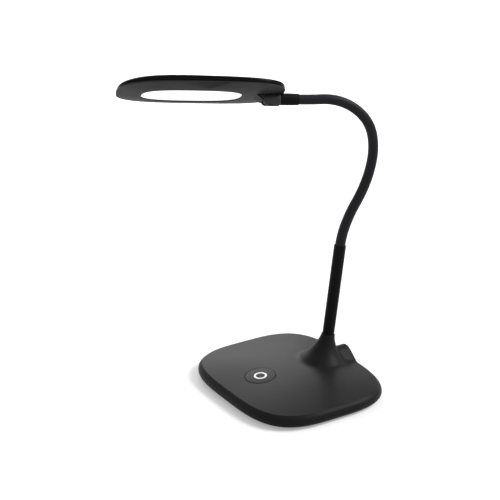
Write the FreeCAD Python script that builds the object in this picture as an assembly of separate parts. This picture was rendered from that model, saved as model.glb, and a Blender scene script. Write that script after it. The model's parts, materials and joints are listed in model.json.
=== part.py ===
import FreeCAD, Part
import math
import os

from FreeCAD import Vector

# Gooseneck desk lamp with a weighted base, a bendable neck and a flat LED head.
# Millimetres, +Z up. The origin is the middle of the base, on the table.
# The front of the lamp, with the button and the head, looks along -Y.

# Base shell
BASE_HALF_X = 89.0
BASE_HALF_Y = 75.0
BASE_EXPONENT = 3.44
CROWN_Z = 21.0
DOME_DROP = 7.5
RIM_Z = 7.2
RIM_ROUND = 5.0
RIM_RISE = 6.6
UNDERCUT = 5.4
COVER_WALL = 2.2
CAVITY_INSET = 7.0
CAVITY_SHOULDER = 1.5
CAVITY_TOP_RISE = 4.0

# Base plate, rubber pad, ballast and their screws
PLATE_Z = 1.8
PLATE_THICK = 2.2
PLATE_CLEARANCE = 0.2
CAVITY_LIMIT_Y = BASE_HALF_Y - CAVITY_INSET - 2 * PLATE_CLEARANCE
PAD_INSET = 13.0
BALLAST_HALF_X = 56.0
BALLAST_HALF_Y = 50.0
BALLAST_THICK = 3.4
BALLAST_SCREW_X = 40.0
COVER_SCREW_X = 62.0
COVER_SCREW_Y = 48.0
POST_RADIUS = 3.5
POST_TOP = 14.6
SCREW_RADIUS = 1.2
SCREW_HEAD_RADIUS = 2.6
SCREW_HEAD_THICK = 1.1
COVER_SCREW_DEPTH = 7.0
THREAD_SPARE = 0.5
PLATE_BITE = 0.5
STEM_HOLE_RADIUS = 11.0

# Push button
BUTTON_Y = -33.5
BUTTON_RADIUS = 15.3
BUTTON_GROOVE = 0.45
BUTTON_THICK = 3.0
BUTTON_TRAVEL = 0.8
BUTTON_FLANGE_RADIUS = 16.9
BUTTON_FLANGE_THICK = 1.0
BUTTON_CHAMFER = 0.5
BUTTON_POST = 0.2
RING_OUTER_RADIUS = 6.5
RING_BAND = 2.0
RING_THICK = 1.2

# Switch and control board, hung under the button
BOARD_DEPTH = 8.0
BOARD_THICK = 1.6
BOARD_HALF_X = 23.0
BOARD_HALF_Y = 15.0
BOARD_POST_X = 19.5
BOARD_POST_Y = 11.5
BOARD_POST_RADIUS = 2.2
BOARD_POST_ROOT = 1.5
BOARD_PILOT_DEPTH = 4.0
SWITCH_SIDE = 6.2
SWITCH_HEIGHT = 3.0
PLUNGER_RADIUS = 1.7
PLUNGER_LENGTH = 2.6
PLUNGER_CLEARANCE = 0.1
PLUNGER_TOP = -BUTTON_THICK - BUTTON_FLANGE_THICK - BUTTON_POST
BOARD_SCREW_RADIUS = 0.9
BOARD_SCREW_HEAD_RADIUS = 1.8
CONNECTOR_BACK = 12.5
CONNECTOR_HALF_X = 6.0
CONNECTOR_LENGTH = 5.0
CONNECTOR_HEIGHT = 2.8

# Power inlet in the hump behind the neck
JACK_Z = 16.0
JACK_HALF_X = 4.5
JACK_HALF_Z = 5.5
JACK_LENGTH = 13.5
JACK_BORE_RADIUS = 2.75
JACK_BORE_DEPTH = 9.5
JACK_PIN_RADIUS = 1.0
JACK_PIN_LENGTH = 8.0
JACK_PIN_LIFT = 0.4
JACK_TAIL_RADIUS = 0.8
JACK_CLEARANCE = 0.1
JACK_LEAD_ROOM = 3.0
INLET_HOLE_RADIUS = 4.2
HUMP_TOP_Z = 28.0
HUMP_HALF_WIDTH = 18.0
HUMP_START_Y = 46.0
HUMP_LEVEL_Y = 68.0
HUMP_END_Y = 74.5
HUMP_SINK = 0.6
JACK_FACE_Y = 71.5

# Neck: lower sleeve, flexible length in equal arcs, upper sleeve
STEM_LEAN = 7.4
NECK_ROOT_Y = 59.3
NECK_ROOT_Z = 138.0
COLLAR_Z = 45.0
COLLAR_RADIUS = 6.75
FLARE_Z = 17.0
FLARE_RADIUS = 30.0
FLARE_EXPONENT = 0.68
FLARE_SHIFT = 3.1
FLARE_STEPS = 12
SOCKET_FLOOR_Z = 26.0
SLEEVE_RADIUS = 5.95
SLEEVE_CHAMFER = 0.35
SHEATH_RADIUS = 5.0
SHEATH_WALL = 1.1
CORE_RADIUS = 3.8
CORE_BORE_RADIUS = 2.2
NECK_CLEARANCE = 0.1
NECK_TURN_AWAY = 19.7
NECK_LENGTH = 209.0
NECK_BENDS = [13.0, 9.0, -9.5, -11.5, -18.5, -30.5, -24.0, -24.0, 3.5]
LINK_GAP = 0.3
LINK_RELIEF = 8.0
ROOT_KINK = 0.4
ROOT_LEAN = STEM_LEAN - ROOT_KINK
ARC_LENGTH = NECK_LENGTH / len(NECK_BENDS)
SHEATH_BORE = SHEATH_RADIUS - SHEATH_WALL

# Threaded foot of the neck, clamped through the boss
STUD_RADIUS = 4.5
STUD_BORE_RADIUS = 2.4
STUD_FLANGE_RADIUS = 5.9
STUD_FLANGE_THICK = 1.5
STUD_TOP_ABOVE_FLOOR = 8.0
STUD_BOTTOM_Z = 12.0
CORE_GRIP = 12.0
NUT_SEAT_Z = 18.2
NUT_SEAT_RADIUS = 9.5
WASHER_RADIUS = 8.3
WASHER_THICK = 1.0
NUT_ACROSS_FLATS = 13.0
NUT_THICK = 4.0

# Upper sleeve and swivel at the head end of the neck
UPPER_SLEEVE_LENGTH = 18.0
UPPER_SLEEVE_RADIUS = 5.75
UPPER_SLEEVE_TIP_RADIUS = 5.45
SWIVEL_GAP = 0.3
SWIVEL_RADIUS = 3.0
SWIVEL_WALL = 1.0
SWIVEL_CLEARANCE = 0.05
SWIVEL_BEARING = 8.0
SWIVEL_REACH = 10.2
SWIVEL_INSERT = 5.1
CLIP_THICK = 1.2
CLIP_RADIUS = 4.7
CLIP_GAP = 0.3
CLIP_TOP = SWIVEL_GAP + SWIVEL_BEARING + CLIP_GAP + CLIP_THICK
GRIP_GAP = 1.0
SLEEVE_GRIP = UPPER_SLEEVE_LENGTH - SWIVEL_GAP - SWIVEL_REACH - GRIP_GAP

# Head, measured from its middle in the plane where its two shells meet
HEAD_HALF_LENGTH = 78.4
HEAD_HALF_WIDTH = 38.0
HEAD_EXPONENT = 3.2
HEAD_ROLL = 30.5
HEAD_TO_SEAM = 75.4
NECK_AXIS_DROP = 5.8
SHELL_SIDE = 1.2
SHELL_EDGE = 3.6
SHELL_ROUND = 2.2
SHELL_CROWN = 6.5
SHELL_TAPER = 14.0
SHELL_RISE = 1.2
SHELL_WALL = 2.0
SHELL_CEILING = 4.0
SHELL_COVE = 1.6
FRAME_EDGE = 1.2
FRAME_WALL = 1.6
FRAME_LIP = 0.4

# Light opening, diffuser and LED board
OPENING_CENTRE = 8.7
OPENING_HALF_LENGTH = 47.2
OPENING_HALF_WIDTH = 19.7
OPENING_EXPONENT = 2.9
RIM_DEPTH = 4.5
RIM_LAND = 2.0
RECESS = 1.2
DIFFUSER_THICK = 1.5
DIFFUSER_LEDGE = 1.3
DIFFUSER_CLEARANCE = 0.1
TRAY_WALL = 1.2
TRAY_STEP = 0.6
LED_BOARD_THICK = 1.6
TRAY_FLOOR = -RIM_DEPTH + RECESS + DIFFUSER_THICK
BOARD_FLOOR = SHELL_CEILING - LED_BOARD_THICK
LED_SIZE = 3.0
LED_HEIGHT = 0.8
LED_COLUMNS = 9
LED_ROWS = 4
LED_SPREAD_X = 1.8
LED_SPREAD_Y = 1.6

# Tilt hinge under the rear of the head: a lug of the head between the knuckle's two cheeks
PIN_BACK = 63.0
PIN_DROP = 7.9
PIN_RADIUS = 1.5
PIN_CLEARANCE = 0.06
PIN_TIP = 4.9
CHEEK_RADIUS = 4.4
SLOT_HALF = 3.2
LUG_HALF = 2.8
LUG_RADIUS = 3.6
KNUCKLE_RADIUS = 6.8
KNUCKLE_TAPER = 1.4
KNUCKLE_CLEARANCE = 0.35
KNUCKLE_HEADROOM = 0.4
WASHER_FIT = 0.05
WASHER_EDGE = 0.5
HINGE_HEAD_RADIUS = 2.4
HINGE_HEAD_THICK = 1.1
HINGE_SEAT = 4.2
HINGE_NUT_THICK = 1.2
SEAT_CLEARANCE = 0.1

# Fairing of the head in front of the cheeks, cut off by one slanted face
FAIRING_TOP_BACK = 51.6
FAIRING_LOW_BACK = 57.1
FAIRING_LOW_DROP = 8.2
FAIRING_REAR_BACK = 60.0
ROOT_DEPTH = 0.5

# Screws that close the head
HEAD_SCREW_BACK = 67.0
HEAD_SCREW_SIDE = 12.5
HEAD_SCREW_RADIUS = 0.9
HEAD_SCREW_HEAD_RADIUS = 1.8
HEAD_BOSS_RADIUS = 3.0
HEAD_SCREW_SINK = 0.8
HEAD_SCREW_HEAD_THICK = 0.6
HEAD_SCREW_TIP = 3.4
HEAD_PILOT_TOP = 3.6
BOSS_FOOT = 0.2

# Leads inside the housings
LEAD_RADIUS = 1.1
LEAD_BEND = 3.2
LEAD_FLOOR = 0.2
LEAD_Z = PLATE_Z + PLATE_THICK + BALLAST_THICK + LEAD_RADIUS + LEAD_FLOOR
HEAD_LEAD_RADIUS = 0.9
HEAD_LEAD_BEND = 2.2
LEAD_ENTRY_BACK = 69.0
LEAD_GAP = 0.2
LEAD_WAY_RADIUS = 1.3

Z_AXIS = Vector(0, 0, 1)
NECK_TURN = math.radians(NECK_TURN_AWAY)
NECK_NORMAL = Vector(math.cos(NECK_TURN), -math.sin(NECK_TURN), 0)
OVERCUT = 1.0
OUTLINE_POINTS = 48


class Frame:
    """A local set of axes: origin and three right-handed directions."""

    def __init__(self, origin, x_axis, y_axis):
        self.origin = origin
        self.x_axis = Vector(x_axis).normalize()
        self.y_axis = Vector(y_axis).normalize()
        self.z_axis = self.x_axis.cross(self.y_axis)

    def point(self, x, y, z):
        return self.origin + self.x_axis * x + self.y_axis * y + self.z_axis * z

    def place(self, shape):
        """Return the shape, drawn in local axes, set in the lamp's axes."""
        x, y, z, o = self.x_axis, self.y_axis, self.z_axis, self.origin
        rows = [(x.x, y.x, z.x, o.x), (x.y, y.y, z.y, o.y), (x.z, y.z, z.z, o.z), (0, 0, 0, 1)]
        matrix = FreeCAD.Matrix(*[value for row in rows for value in row])
        placed = shape.copy()
        placed.Placement = FreeCAD.Placement(matrix).multiply(shape.Placement)
        return placed


def superellipse(half_x, half_y, exponent, z, centre_x=0.0, centre_y=0.0):
    """Closed smooth outline |x/a|^n + |y/b|^n = 1 at height z."""
    points = []
    for i in range(OUTLINE_POINTS):
        angle = 2 * math.pi * i / OUTLINE_POINTS
        c, s = math.cos(angle), math.sin(angle)
        reach = (abs(c) ** exponent + abs(s) ** exponent) ** (-1 / exponent)
        points.append(Vector(centre_x + half_x * reach * c, centre_y + half_y * reach * s, z))
    return Part.Wire([smooth_curve(points, True).toShape()])


def smooth_curve(points, closed):
    """Curve through evenly numbered points, so that curves of equal length match in a loft."""
    count = len(points) + 1 if closed else len(points)
    curve = Part.BSplineCurve()
    curve.interpolate(Points=points, PeriodicFlag=closed, Parameters=[float(i) for i in range(count)])
    return curve


def loft(wires):
    """Solid through the outlines, straight from each one to the next."""
    return Part.makeLoft(wires, True, True)


def prism(wire, height):
    return Part.Face(wire).extrude(Vector(0, 0, height))


def cylinder(radius, z0, z1, x=0.0, y=0.0):
    return Part.makeCylinder(radius, z1 - z0, Vector(x, y, z0), Z_AXIS)


def ring(outer, inner, z0, z1):
    return cylinder(outer, z0, z1).cut(cylinder(inner, z0 - OVERCUT, z1 + OVERCUT))


def box(x0, x1, y0, y1, z0, z1):
    return Part.makeBox(x1 - x0, y1 - y0, z1 - z0, Vector(x0, y0, z0))


def turned(profile):
    """Solid of revolution about local Z from (radius, z) points."""
    points = [Vector(r, 0, z) for r, z in profile]
    face = Part.Face(Part.makePolygon(points + [points[0]]))
    return face.revolve(Vector(0, 0, 0), Z_AXIS, 360)


def hexagon(across_flats, z0, z1):
    corner = across_flats / 2 / math.cos(math.pi / 6)
    turns = [i * math.pi / 3 for i in range(7)]
    points = [Vector(corner * math.cos(turn), corner * math.sin(turn), z0) for turn in turns]
    return prism(Part.makePolygon(points), z1 - z0)


def fuse(shapes):
    return shapes[0].multiFuse(shapes[1:]).removeSplitter()


def cut(shape, tools):
    return shape.cut(Part.makeCompound(tools))


def corners(x, y):
    return [(sx * x, sy * y) for sx in (-1, 1) for sy in (-1, 1)]


def rounded_path(points, bend):
    """Straight runs joined by tangent arcs of one radius."""
    edges = []
    start = points[0]
    for before, corner, after in zip(points, points[1:], points[2:]):
        arriving = (corner - before).normalize()
        leaving = (after - corner).normalize()
        half_turn = arriving.getAngle(leaving) / 2
        trim = bend * math.tan(half_turn)
        arc_start = corner - arriving * trim
        arc_end = corner + leaving * trim
        towards_centre = (leaving - arriving).normalize()
        centre = corner + towards_centre * (bend / math.cos(half_turn))
        middle = centre - towards_centre * bend
        edges.append(Part.LineSegment(start, arc_start).toShape())
        edges.append(Part.Arc(arc_start, middle, arc_end).toShape())
        start = arc_end
    edges.append(Part.LineSegment(start, points[-1]).toShape())
    return Part.Wire(edges)


def round_lead(points, radius, bend):
    path = rounded_path(points, bend)
    direction = (points[1] - points[0]).normalize()
    section = Part.Wire([Part.Circle(points[0], direction, radius).toShape()])
    return path.makePipeShell([section], True, False)


# Shared places

def dome_height(share):
    """Height of the base's top where the outline is scaled by share."""
    return CROWN_Z - DOME_DROP * share ** 2


def button_frame():
    """Origin on the button's face, local Z out of it, square to the dome."""
    share = abs(BUTTON_Y) / BASE_HALF_Y
    slope = math.atan(2 * DOME_DROP * share / BASE_HALF_Y)
    across = Vector(1, 0, 0)
    along = Vector(0, math.cos(slope), math.sin(slope))
    return Frame(Vector(0, BUTTON_Y, dome_height(share)), across, along)


def stem_frame():
    """Origin where the neck leaves the lower sleeve, local Z up the sleeve."""
    lean = math.radians(STEM_LEAN)
    along_y = Vector(0, math.cos(lean), -math.sin(lean))
    return Frame(Vector(0, NECK_ROOT_Y, NECK_ROOT_Z), Vector(1, 0, 0), along_y)


def stem_height(z):
    """Distance along the stem, from the neck's root, of the height z."""
    return (z - NECK_ROOT_Z) / math.cos(math.radians(STEM_LEAN))


def neck_station(position):
    """Point, direction and in-plane normal at a distance along the neck, counted in arcs."""
    rearward = NECK_NORMAL.cross(Z_AXIS) * -1
    lean = math.radians(ROOT_LEAN)
    rear, up = 0.0, 0.0
    left = position
    for bend in NECK_BENDS:
        share = min(left, 1.0)
        turn = math.radians(bend) * share
        chord = ARC_LENGTH * share
        if share > 0:
            chord = ARC_LENGTH * share * math.sin(turn / 2) / (turn / 2)
        rear += chord * math.sin(lean + turn / 2)
        up += chord * math.cos(lean + turn / 2)
        lean += turn
        left -= share
        if left <= 0:
            break
    point = Vector(0, NECK_ROOT_Y, NECK_ROOT_Z) + rearward * rear + Z_AXIS * up
    direction = rearward * math.sin(lean) + Z_AXIS * math.cos(lean)
    normal = rearward * math.cos(lean) - Z_AXIS * math.sin(lean)
    return point, direction, normal


def seam_point():
    """Where the swivelling knuckle meets the upper sleeve, on the neck's axis."""
    point, direction, _ = neck_station(len(NECK_BENDS))
    return point + direction * UPPER_SLEEVE_LENGTH


def arm_frame():
    """Origin at the seam, local Z back down the neck, away from the head."""
    _, direction, _ = neck_station(len(NECK_BENDS))
    return Frame(seam_point(), NECK_NORMAL, NECK_NORMAL.cross(direction))


def head_frame():
    """Origin in the middle of the head; X to its tip, Y to its side, Z out of its top."""
    _, tip_way, _ = neck_station(len(NECK_BENDS))
    level_up = tip_way.cross(NECK_NORMAL)
    roll = math.radians(HEAD_ROLL)
    side = NECK_NORMAL * math.cos(roll) + level_up * math.sin(roll)
    top = tip_way.cross(side)
    origin = seam_point() + tip_way * HEAD_TO_SEAM + top * NECK_AXIS_DROP
    return Frame(origin, tip_way, side)


BUTTON = button_frame()
STEM = stem_frame()
ARM = arm_frame()
HEAD = head_frame()


# Base

def base_outline(inset, z):
    return superellipse(BASE_HALF_X - inset, BASE_HALF_Y - inset, BASE_EXPONENT, z)


def scaled_outline(share, z):
    return superellipse(BASE_HALF_X * share, BASE_HALF_Y * share, BASE_EXPONENT, z)


def base_body():
    """Outer form: undercut foot, rounded rim and a low dome."""
    wires = []
    for angle in (-80, -45, 0, 30, 55, 75):
        turn = math.radians(angle)
        rise = RIM_RISE if angle > 0 else UNDERCUT
        wires.append(base_outline(RIM_ROUND * (1 - math.cos(turn)), RIM_Z + rise * math.sin(turn)))
    for share in (0.9, 0.8, 0.65, 0.45, 0.2):
        wires.append(scaled_outline(share, dome_height(share)))
    return loft(wires)


def base_hollow():
    wires = [
        base_outline(CAVITY_INSET, 0.0),
        base_outline(CAVITY_INSET, RIM_Z + CAVITY_SHOULDER),
        base_outline(CAVITY_INSET + CAVITY_SHOULDER, RIM_Z + CAVITY_TOP_RISE),
    ]
    for share in (0.85, 0.7, 0.5, 0.2):
        wires.append(scaled_outline(share, dome_height(share) - COVER_WALL))
    return loft(wires)


def boss():
    """Concave flare round the stem's foot, its sections square to the stem."""
    wires = []
    rise = COLLAR_Z - FLARE_Z
    for step in range(FLARE_STEPS + 1):
        share = (step / FLARE_STEPS) ** 1.6
        spread = (1 - share ** FLARE_EXPONENT) ** (1 / FLARE_EXPONENT)
        radius = COLLAR_RADIUS + (FLARE_RADIUS - COLLAR_RADIUS) * spread
        shift = FLARE_SHIFT * (1 - share) ** 0.9
        height = stem_height(FLARE_Z + rise * share)
        wires.append(superellipse(radius, radius, 2.0, height, 0.0, -shift))
    return STEM.place(loft(wires))


def stud_top():
    """Top of the threaded foot, along the stem."""
    return stem_height(SOCKET_FLOOR_Z) + STUD_TOP_ABOVE_FLOOR


def rear_height(y):
    """Height of the base's top on its centre line, down the rounded rim at the back."""
    inset = BASE_HALF_Y - y
    dome = dome_height(y / BASE_HALF_Y)
    if inset >= RIM_ROUND:
        return dome
    return min(dome, RIM_Z + RIM_RISE * math.sqrt(1 - (1 - inset / RIM_ROUND) ** 2))


def hump_height(y):
    """Height of the hump's ridge, level and then round down to the rim."""
    if y <= HUMP_LEVEL_Y:
        return HUMP_TOP_Z
    share = (y - HUMP_LEVEL_Y) / (BASE_HALF_Y - HUMP_LEVEL_Y)
    return RIM_Z + (HUMP_TOP_Z - RIM_Z) * math.sqrt(1 - share ** 2)


def hump_section(y):
    """Bell-shaped closed outline across the hump, standing at one y."""
    foot = rear_height(y) - HUMP_SINK
    points = []
    steps = 16
    for i in range(steps + 1):
        x = HUMP_HALF_WIDTH * (2 * i / steps - 1)
        share = (1 + math.cos(math.pi * x / HUMP_HALF_WIDTH)) / 2
        points.append(Vector(x, y, foot + (hump_height(y) - foot) * share ** 0.8))
    curve = smooth_curve(points, False)
    right = Vector(HUMP_HALF_WIDTH, y, PLATE_Z)
    left = Vector(-HUMP_HALF_WIDTH, y, PLATE_Z)
    sides = Part.makePolygon([points[-1], right, left, points[0]])
    return Part.Wire([curve.toShape()] + sides.Edges)


def hump():
    places = (HUMP_START_Y, 60.0, HUMP_LEVEL_Y, 70.0, 71.5, 72.8, 73.8, HUMP_END_Y)
    return loft([hump_section(y) for y in places])


def inlet_pocket():
    """Room for the inlet and its lead behind the wall of the hump."""
    half_x = JACK_HALF_X + JACK_CLEARANCE
    back = JACK_FACE_Y - JACK_LENGTH - JACK_LEAD_ROOM
    return box(-half_x, half_x, back, JACK_FACE_Y, 0.0, JACK_Z + JACK_HALF_Z + JACK_CLEARANCE)


def base_cover():
    """Upper shell of the base with its flare, hump, posts and openings."""
    plate_top = PLATE_Z + PLATE_THICK
    screw_spots = corners(COVER_SCREW_X, COVER_SCREW_Y)
    board_spots = corners(BOARD_POST_X, BOARD_POST_Y)
    posts = [cylinder(POST_RADIUS, plate_top, POST_TOP, x, y) for x, y in screw_spots]
    board_posts = [
        BUTTON.place(cylinder(BOARD_POST_RADIUS, -BOARD_DEPTH, -BOARD_POST_ROOT, x, y))
        for x, y in board_spots
    ]
    outside = fuse([base_body(), boss(), hump()])
    hollow = base_hollow()
    seat = STEM.place(cylinder(NUT_SEAT_RADIUS, stem_height(0.0), stem_height(NUT_SEAT_Z)))
    shell = cut(outside, [hollow, seat, inlet_pocket()])
    shell = fuse([shell] + posts + board_posts)
    inlet = inlet_bore(INLET_HOLE_RADIUS, JACK_FACE_Y - NECK_CLEARANCE, BASE_HALF_Y + OVERCUT)
    socket_top = stem_height(COLLAR_Z) + OVERCUT
    socket = cylinder(SLEEVE_RADIUS + NECK_CLEARANCE, stem_height(SOCKET_FLOOR_Z), socket_top)
    through = cylinder(STUD_RADIUS + NECK_CLEARANCE, stem_height(0.0), 0.0)
    button_hole = cylinder(BUTTON_RADIUS + BUTTON_GROOVE, -BOARD_DEPTH + OVERCUT, 5.0)
    pilots = [cylinder(SCREW_RADIUS, 0.0, plate_top + COVER_SCREW_DEPTH, x, y) for x, y in screw_spots]
    pilot_top = -BOARD_DEPTH + BOARD_PILOT_DEPTH
    board_pilots = [
        BUTTON.place(cylinder(BOARD_SCREW_RADIUS, -BOARD_DEPTH - OVERCUT, pilot_top, x, y))
        for x, y in board_spots
    ]
    under_plate = box(-BASE_HALF_X, BASE_HALF_X, -BASE_HALF_Y, BASE_HALF_Y, -OVERCUT, PLATE_Z)
    tools = [inlet, STEM.place(socket), STEM.place(through), BUTTON.place(button_hole), under_plate]
    return cut(shell, tools + pilots + board_pilots)


def base_plate():
    """Flat floor of the base with a shelf under the inlet."""
    top = PLATE_Z + PLATE_THICK
    plate = prism(base_outline(CAVITY_INSET + PLATE_CLEARANCE, PLATE_Z), PLATE_THICK)
    shelf_back = JACK_FACE_Y - JACK_LENGTH
    shelf_top = JACK_Z - JACK_HALF_Z
    shelf = box(-JACK_HALF_X, JACK_HALF_X, shelf_back, CAVITY_LIMIT_Y, PLATE_Z + OVERCUT, shelf_top)
    holes = []
    for x, y in corners(COVER_SCREW_X, COVER_SCREW_Y):
        holes.append(cylinder(SCREW_HEAD_RADIUS, 0.0, PLATE_Z + SCREW_HEAD_THICK, x, y))
        holes.append(cylinder(SCREW_RADIUS, 0.0, top + OVERCUT, x, y))
    for x in (-BALLAST_SCREW_X, BALLAST_SCREW_X):
        holes.append(cylinder(SCREW_RADIUS, PLATE_Z + PLATE_BITE, top + OVERCUT, x, 0.0))
    return cut(fuse([plate, shelf]), holes)


def ballast_plate():
    bottom = PLATE_Z + PLATE_THICK
    plate = prism(superellipse(BALLAST_HALF_X, BALLAST_HALF_Y, BASE_EXPONENT, bottom), BALLAST_THICK)
    foot = STEM.point(0, 0, stem_height(bottom))
    top = bottom + BALLAST_THICK + OVERCUT
    stem_hole = cylinder(STEM_HOLE_RADIUS, 0.0, top, 0.0, foot.y)
    screw_holes = [cylinder(SCREW_RADIUS, 0.0, top, x, 0.0) for x in (-BALLAST_SCREW_X, BALLAST_SCREW_X)]
    return cut(plate, [stem_hole] + screw_holes)


def ballast_screws():
    top = PLATE_Z + PLATE_THICK + BALLAST_THICK
    return Part.makeCompound([
        fuse([cylinder(SCREW_RADIUS, PLATE_Z + PLATE_BITE, top + SCREW_HEAD_THICK, x, 0.0),
              cylinder(SCREW_HEAD_RADIUS, top, top + SCREW_HEAD_THICK, x, 0.0)])
        for x in (-BALLAST_SCREW_X, BALLAST_SCREW_X)
    ])


def rubber_pad():
    """Non-slip pad under the base plate; it covers the screws and carries the lamp."""
    return prism(base_outline(PAD_INSET, 0.0), PLATE_Z)


def base_screws():
    tip = PLATE_Z + PLATE_THICK + COVER_SCREW_DEPTH - THREAD_SPARE
    return Part.makeCompound([
        fuse([cylinder(SCREW_RADIUS, PLATE_Z, tip, x, y),
              cylinder(SCREW_HEAD_RADIUS, PLATE_Z, PLATE_Z + SCREW_HEAD_THICK, x, y)])
        for x, y in corners(COVER_SCREW_X, COVER_SCREW_Y)
    ])


# Button and control board

def button_cap():
    """Disc with a retaining flange, a seat for the ring and a post on the switch."""
    ring_inner = RING_OUTER_RADIUS - RING_BAND
    flange = -BUTTON_THICK - BUTTON_FLANGE_THICK
    post = PLUNGER_RADIUS + 1.0
    profile = [
        (0, 0), (ring_inner, 0), (ring_inner, -RING_THICK), (RING_OUTER_RADIUS, -RING_THICK),
        (RING_OUTER_RADIUS, 0), (BUTTON_RADIUS - BUTTON_CHAMFER, 0), (BUTTON_RADIUS, -BUTTON_CHAMFER),
        (BUTTON_RADIUS, -BUTTON_THICK), (BUTTON_FLANGE_RADIUS, -BUTTON_THICK), (BUTTON_FLANGE_RADIUS, flange),
        (post, flange), (post, PLUNGER_TOP), (0, PLUNGER_TOP),
    ]
    return BUTTON.place(turned(profile))


def button_ring():
    return BUTTON.place(ring(RING_OUTER_RADIUS, RING_OUTER_RADIUS - RING_BAND, -RING_THICK, 0))


def switch_plunger():
    return BUTTON.place(cylinder(PLUNGER_RADIUS, PLUNGER_TOP - PLUNGER_LENGTH, PLUNGER_TOP))


def switch_body():
    half = SWITCH_SIDE / 2
    case = box(-half, half, -half, half, -BOARD_DEPTH, -BOARD_DEPTH + SWITCH_HEIGHT)
    well_floor = PLUNGER_TOP - PLUNGER_LENGTH - BUTTON_TRAVEL - PLUNGER_CLEARANCE
    return BUTTON.place(case.cut(cylinder(PLUNGER_RADIUS + PLUNGER_CLEARANCE, well_floor, 0)))


def control_board():
    bottom = -BOARD_DEPTH - BOARD_THICK
    board = box(-BOARD_HALF_X, BOARD_HALF_X, -BOARD_HALF_Y, BOARD_HALF_Y, bottom, -BOARD_DEPTH)
    spots = corners(BOARD_POST_X, BOARD_POST_Y)
    holes = [cylinder(BOARD_SCREW_RADIUS, bottom - OVERCUT, 0, x, y) for x, y in spots]
    return BUTTON.place(cut(board, holes))


def board_screws():
    head = -BOARD_DEPTH - BOARD_THICK - SCREW_HEAD_THICK
    return BUTTON.place(Part.makeCompound([
        fuse([cylinder(BOARD_SCREW_RADIUS, head, -BOARD_DEPTH + BOARD_PILOT_DEPTH - THREAD_SPARE, x, y),
              cylinder(BOARD_SCREW_HEAD_RADIUS, head, head + SCREW_HEAD_THICK, x, y)])
        for x, y in corners(BOARD_POST_X, BOARD_POST_Y)
    ]))


def driver_chip():
    return BUTTON.place(box(8.0, 13.0, -3.0, 3.0, -BOARD_DEPTH, -BOARD_DEPTH + 1.6))


def driver_coil():
    return BUTTON.place(cylinder(3.0, -BOARD_DEPTH, -BOARD_DEPTH + 2.6, -10.0, 0.0))


def board_capacitors():
    return BUTTON.place(Part.makeCompound([
        cylinder(1.9, -BOARD_DEPTH, -BOARD_DEPTH + 2.6, x, 8.0) for x in (-6.0, 6.0)
    ]))


def lead_connector():
    top = -BOARD_DEPTH - BOARD_THICK
    front = CONNECTOR_BACK - CONNECTOR_LENGTH
    half = CONNECTOR_HALF_X
    return BUTTON.place(box(-half, half, front, CONNECTOR_BACK, top - CONNECTOR_HEIGHT, top))


# Power inlet

def inlet_bore(radius, y0, y1):
    """Round bar on the inlet's axis."""
    return Part.makeCylinder(radius, y1 - y0, Vector(0, y0, JACK_Z), Vector(0, 1, 0))


def jack_body():
    back = JACK_FACE_Y - JACK_LENGTH
    floor = JACK_FACE_Y - JACK_BORE_DEPTH
    case = box(-JACK_HALF_X, JACK_HALF_X, back, JACK_FACE_Y, JACK_Z - JACK_HALF_Z, JACK_Z + JACK_HALF_Z)
    bore = inlet_bore(JACK_BORE_RADIUS, floor, JACK_FACE_Y + OVERCUT)
    pin_hole = inlet_bore(JACK_TAIL_RADIUS, back, JACK_FACE_Y)
    return cut(case, [bore, pin_hole])


def jack_pin():
    """Contact pin standing in the bore on a thinner tail."""
    back = JACK_FACE_Y - JACK_LENGTH
    shoulder = JACK_FACE_Y - JACK_BORE_DEPTH + JACK_PIN_LIFT
    tail = inlet_bore(JACK_TAIL_RADIUS, back, shoulder)
    return fuse([tail, inlet_bore(JACK_PIN_RADIUS, shoulder, shoulder + JACK_PIN_LENGTH)])


def connector_face():
    """Y at which the leads end, just off the connector's tilted back."""
    return BUTTON.point(0, CONNECTOR_BACK, -BOARD_DEPTH - BOARD_THICK).y + 0.4


def jack_lead():
    """From the back of the inlet, round the stem's foot, to the board."""
    back = JACK_FACE_Y - JACK_LENGTH
    connector = connector_face()
    side = NUT_SEAT_RADIUS + LEAD_RADIUS + 1.5
    points = [
        Vector(2.5, back, JACK_Z - 4.0), Vector(2.5, back - 3.5, JACK_Z - 4.0),
        Vector(side, back - 8.0, LEAD_Z + 1.0), Vector(side, 12.0, LEAD_Z),
        Vector(4.0, connector + 12.0, LEAD_Z), Vector(4.0, connector, LEAD_Z),
    ]
    return round_lead(points, LEAD_RADIUS, LEAD_BEND / 2)


def neck_lead():
    """From the threaded foot of the neck to the board."""
    mouth = STEM.point(0, 0, stem_height(STUD_BOTTOM_Z))
    upper = STEM.point(0, 0, stem_height(STUD_BOTTOM_Z + 5.0))
    connector = connector_face()
    corner = mouth - (upper - mouth) * ((mouth.z - LEAD_Z) / (upper.z - mouth.z))
    points = [
        upper, corner, Vector(0, 12.0, LEAD_Z),
        Vector(-3.0, connector + 10.0, LEAD_Z), Vector(-3.0, connector, LEAD_Z),
    ]
    return round_lead(points, LEAD_RADIUS, LEAD_BEND)


# Neck foot and lower sleeve, drawn along the stem

def neck_stud():
    """Threaded tube with a flange; its top is crimped on the steel core."""
    floor = stem_height(SOCKET_FLOOR_Z)
    bottom = stem_height(STUD_BOTTOM_Z)
    top = floor + STUD_TOP_ABOVE_FLOOR
    flange = cylinder(STUD_FLANGE_RADIUS, floor, floor + STUD_FLANGE_THICK)
    body = fuse([cylinder(STUD_RADIUS, bottom, top), flange])
    bore = cylinder(STUD_BORE_RADIUS, bottom - OVERCUT, top + OVERCUT)
    grip = cylinder(CORE_RADIUS, top - CORE_GRIP, top + OVERCUT)
    return STEM.place(cut(body, [bore, grip]))


def neck_washer():
    top = stem_height(NUT_SEAT_Z)
    return STEM.place(ring(WASHER_RADIUS, STUD_RADIUS + 2 * NECK_CLEARANCE, top - WASHER_THICK, top))


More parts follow.
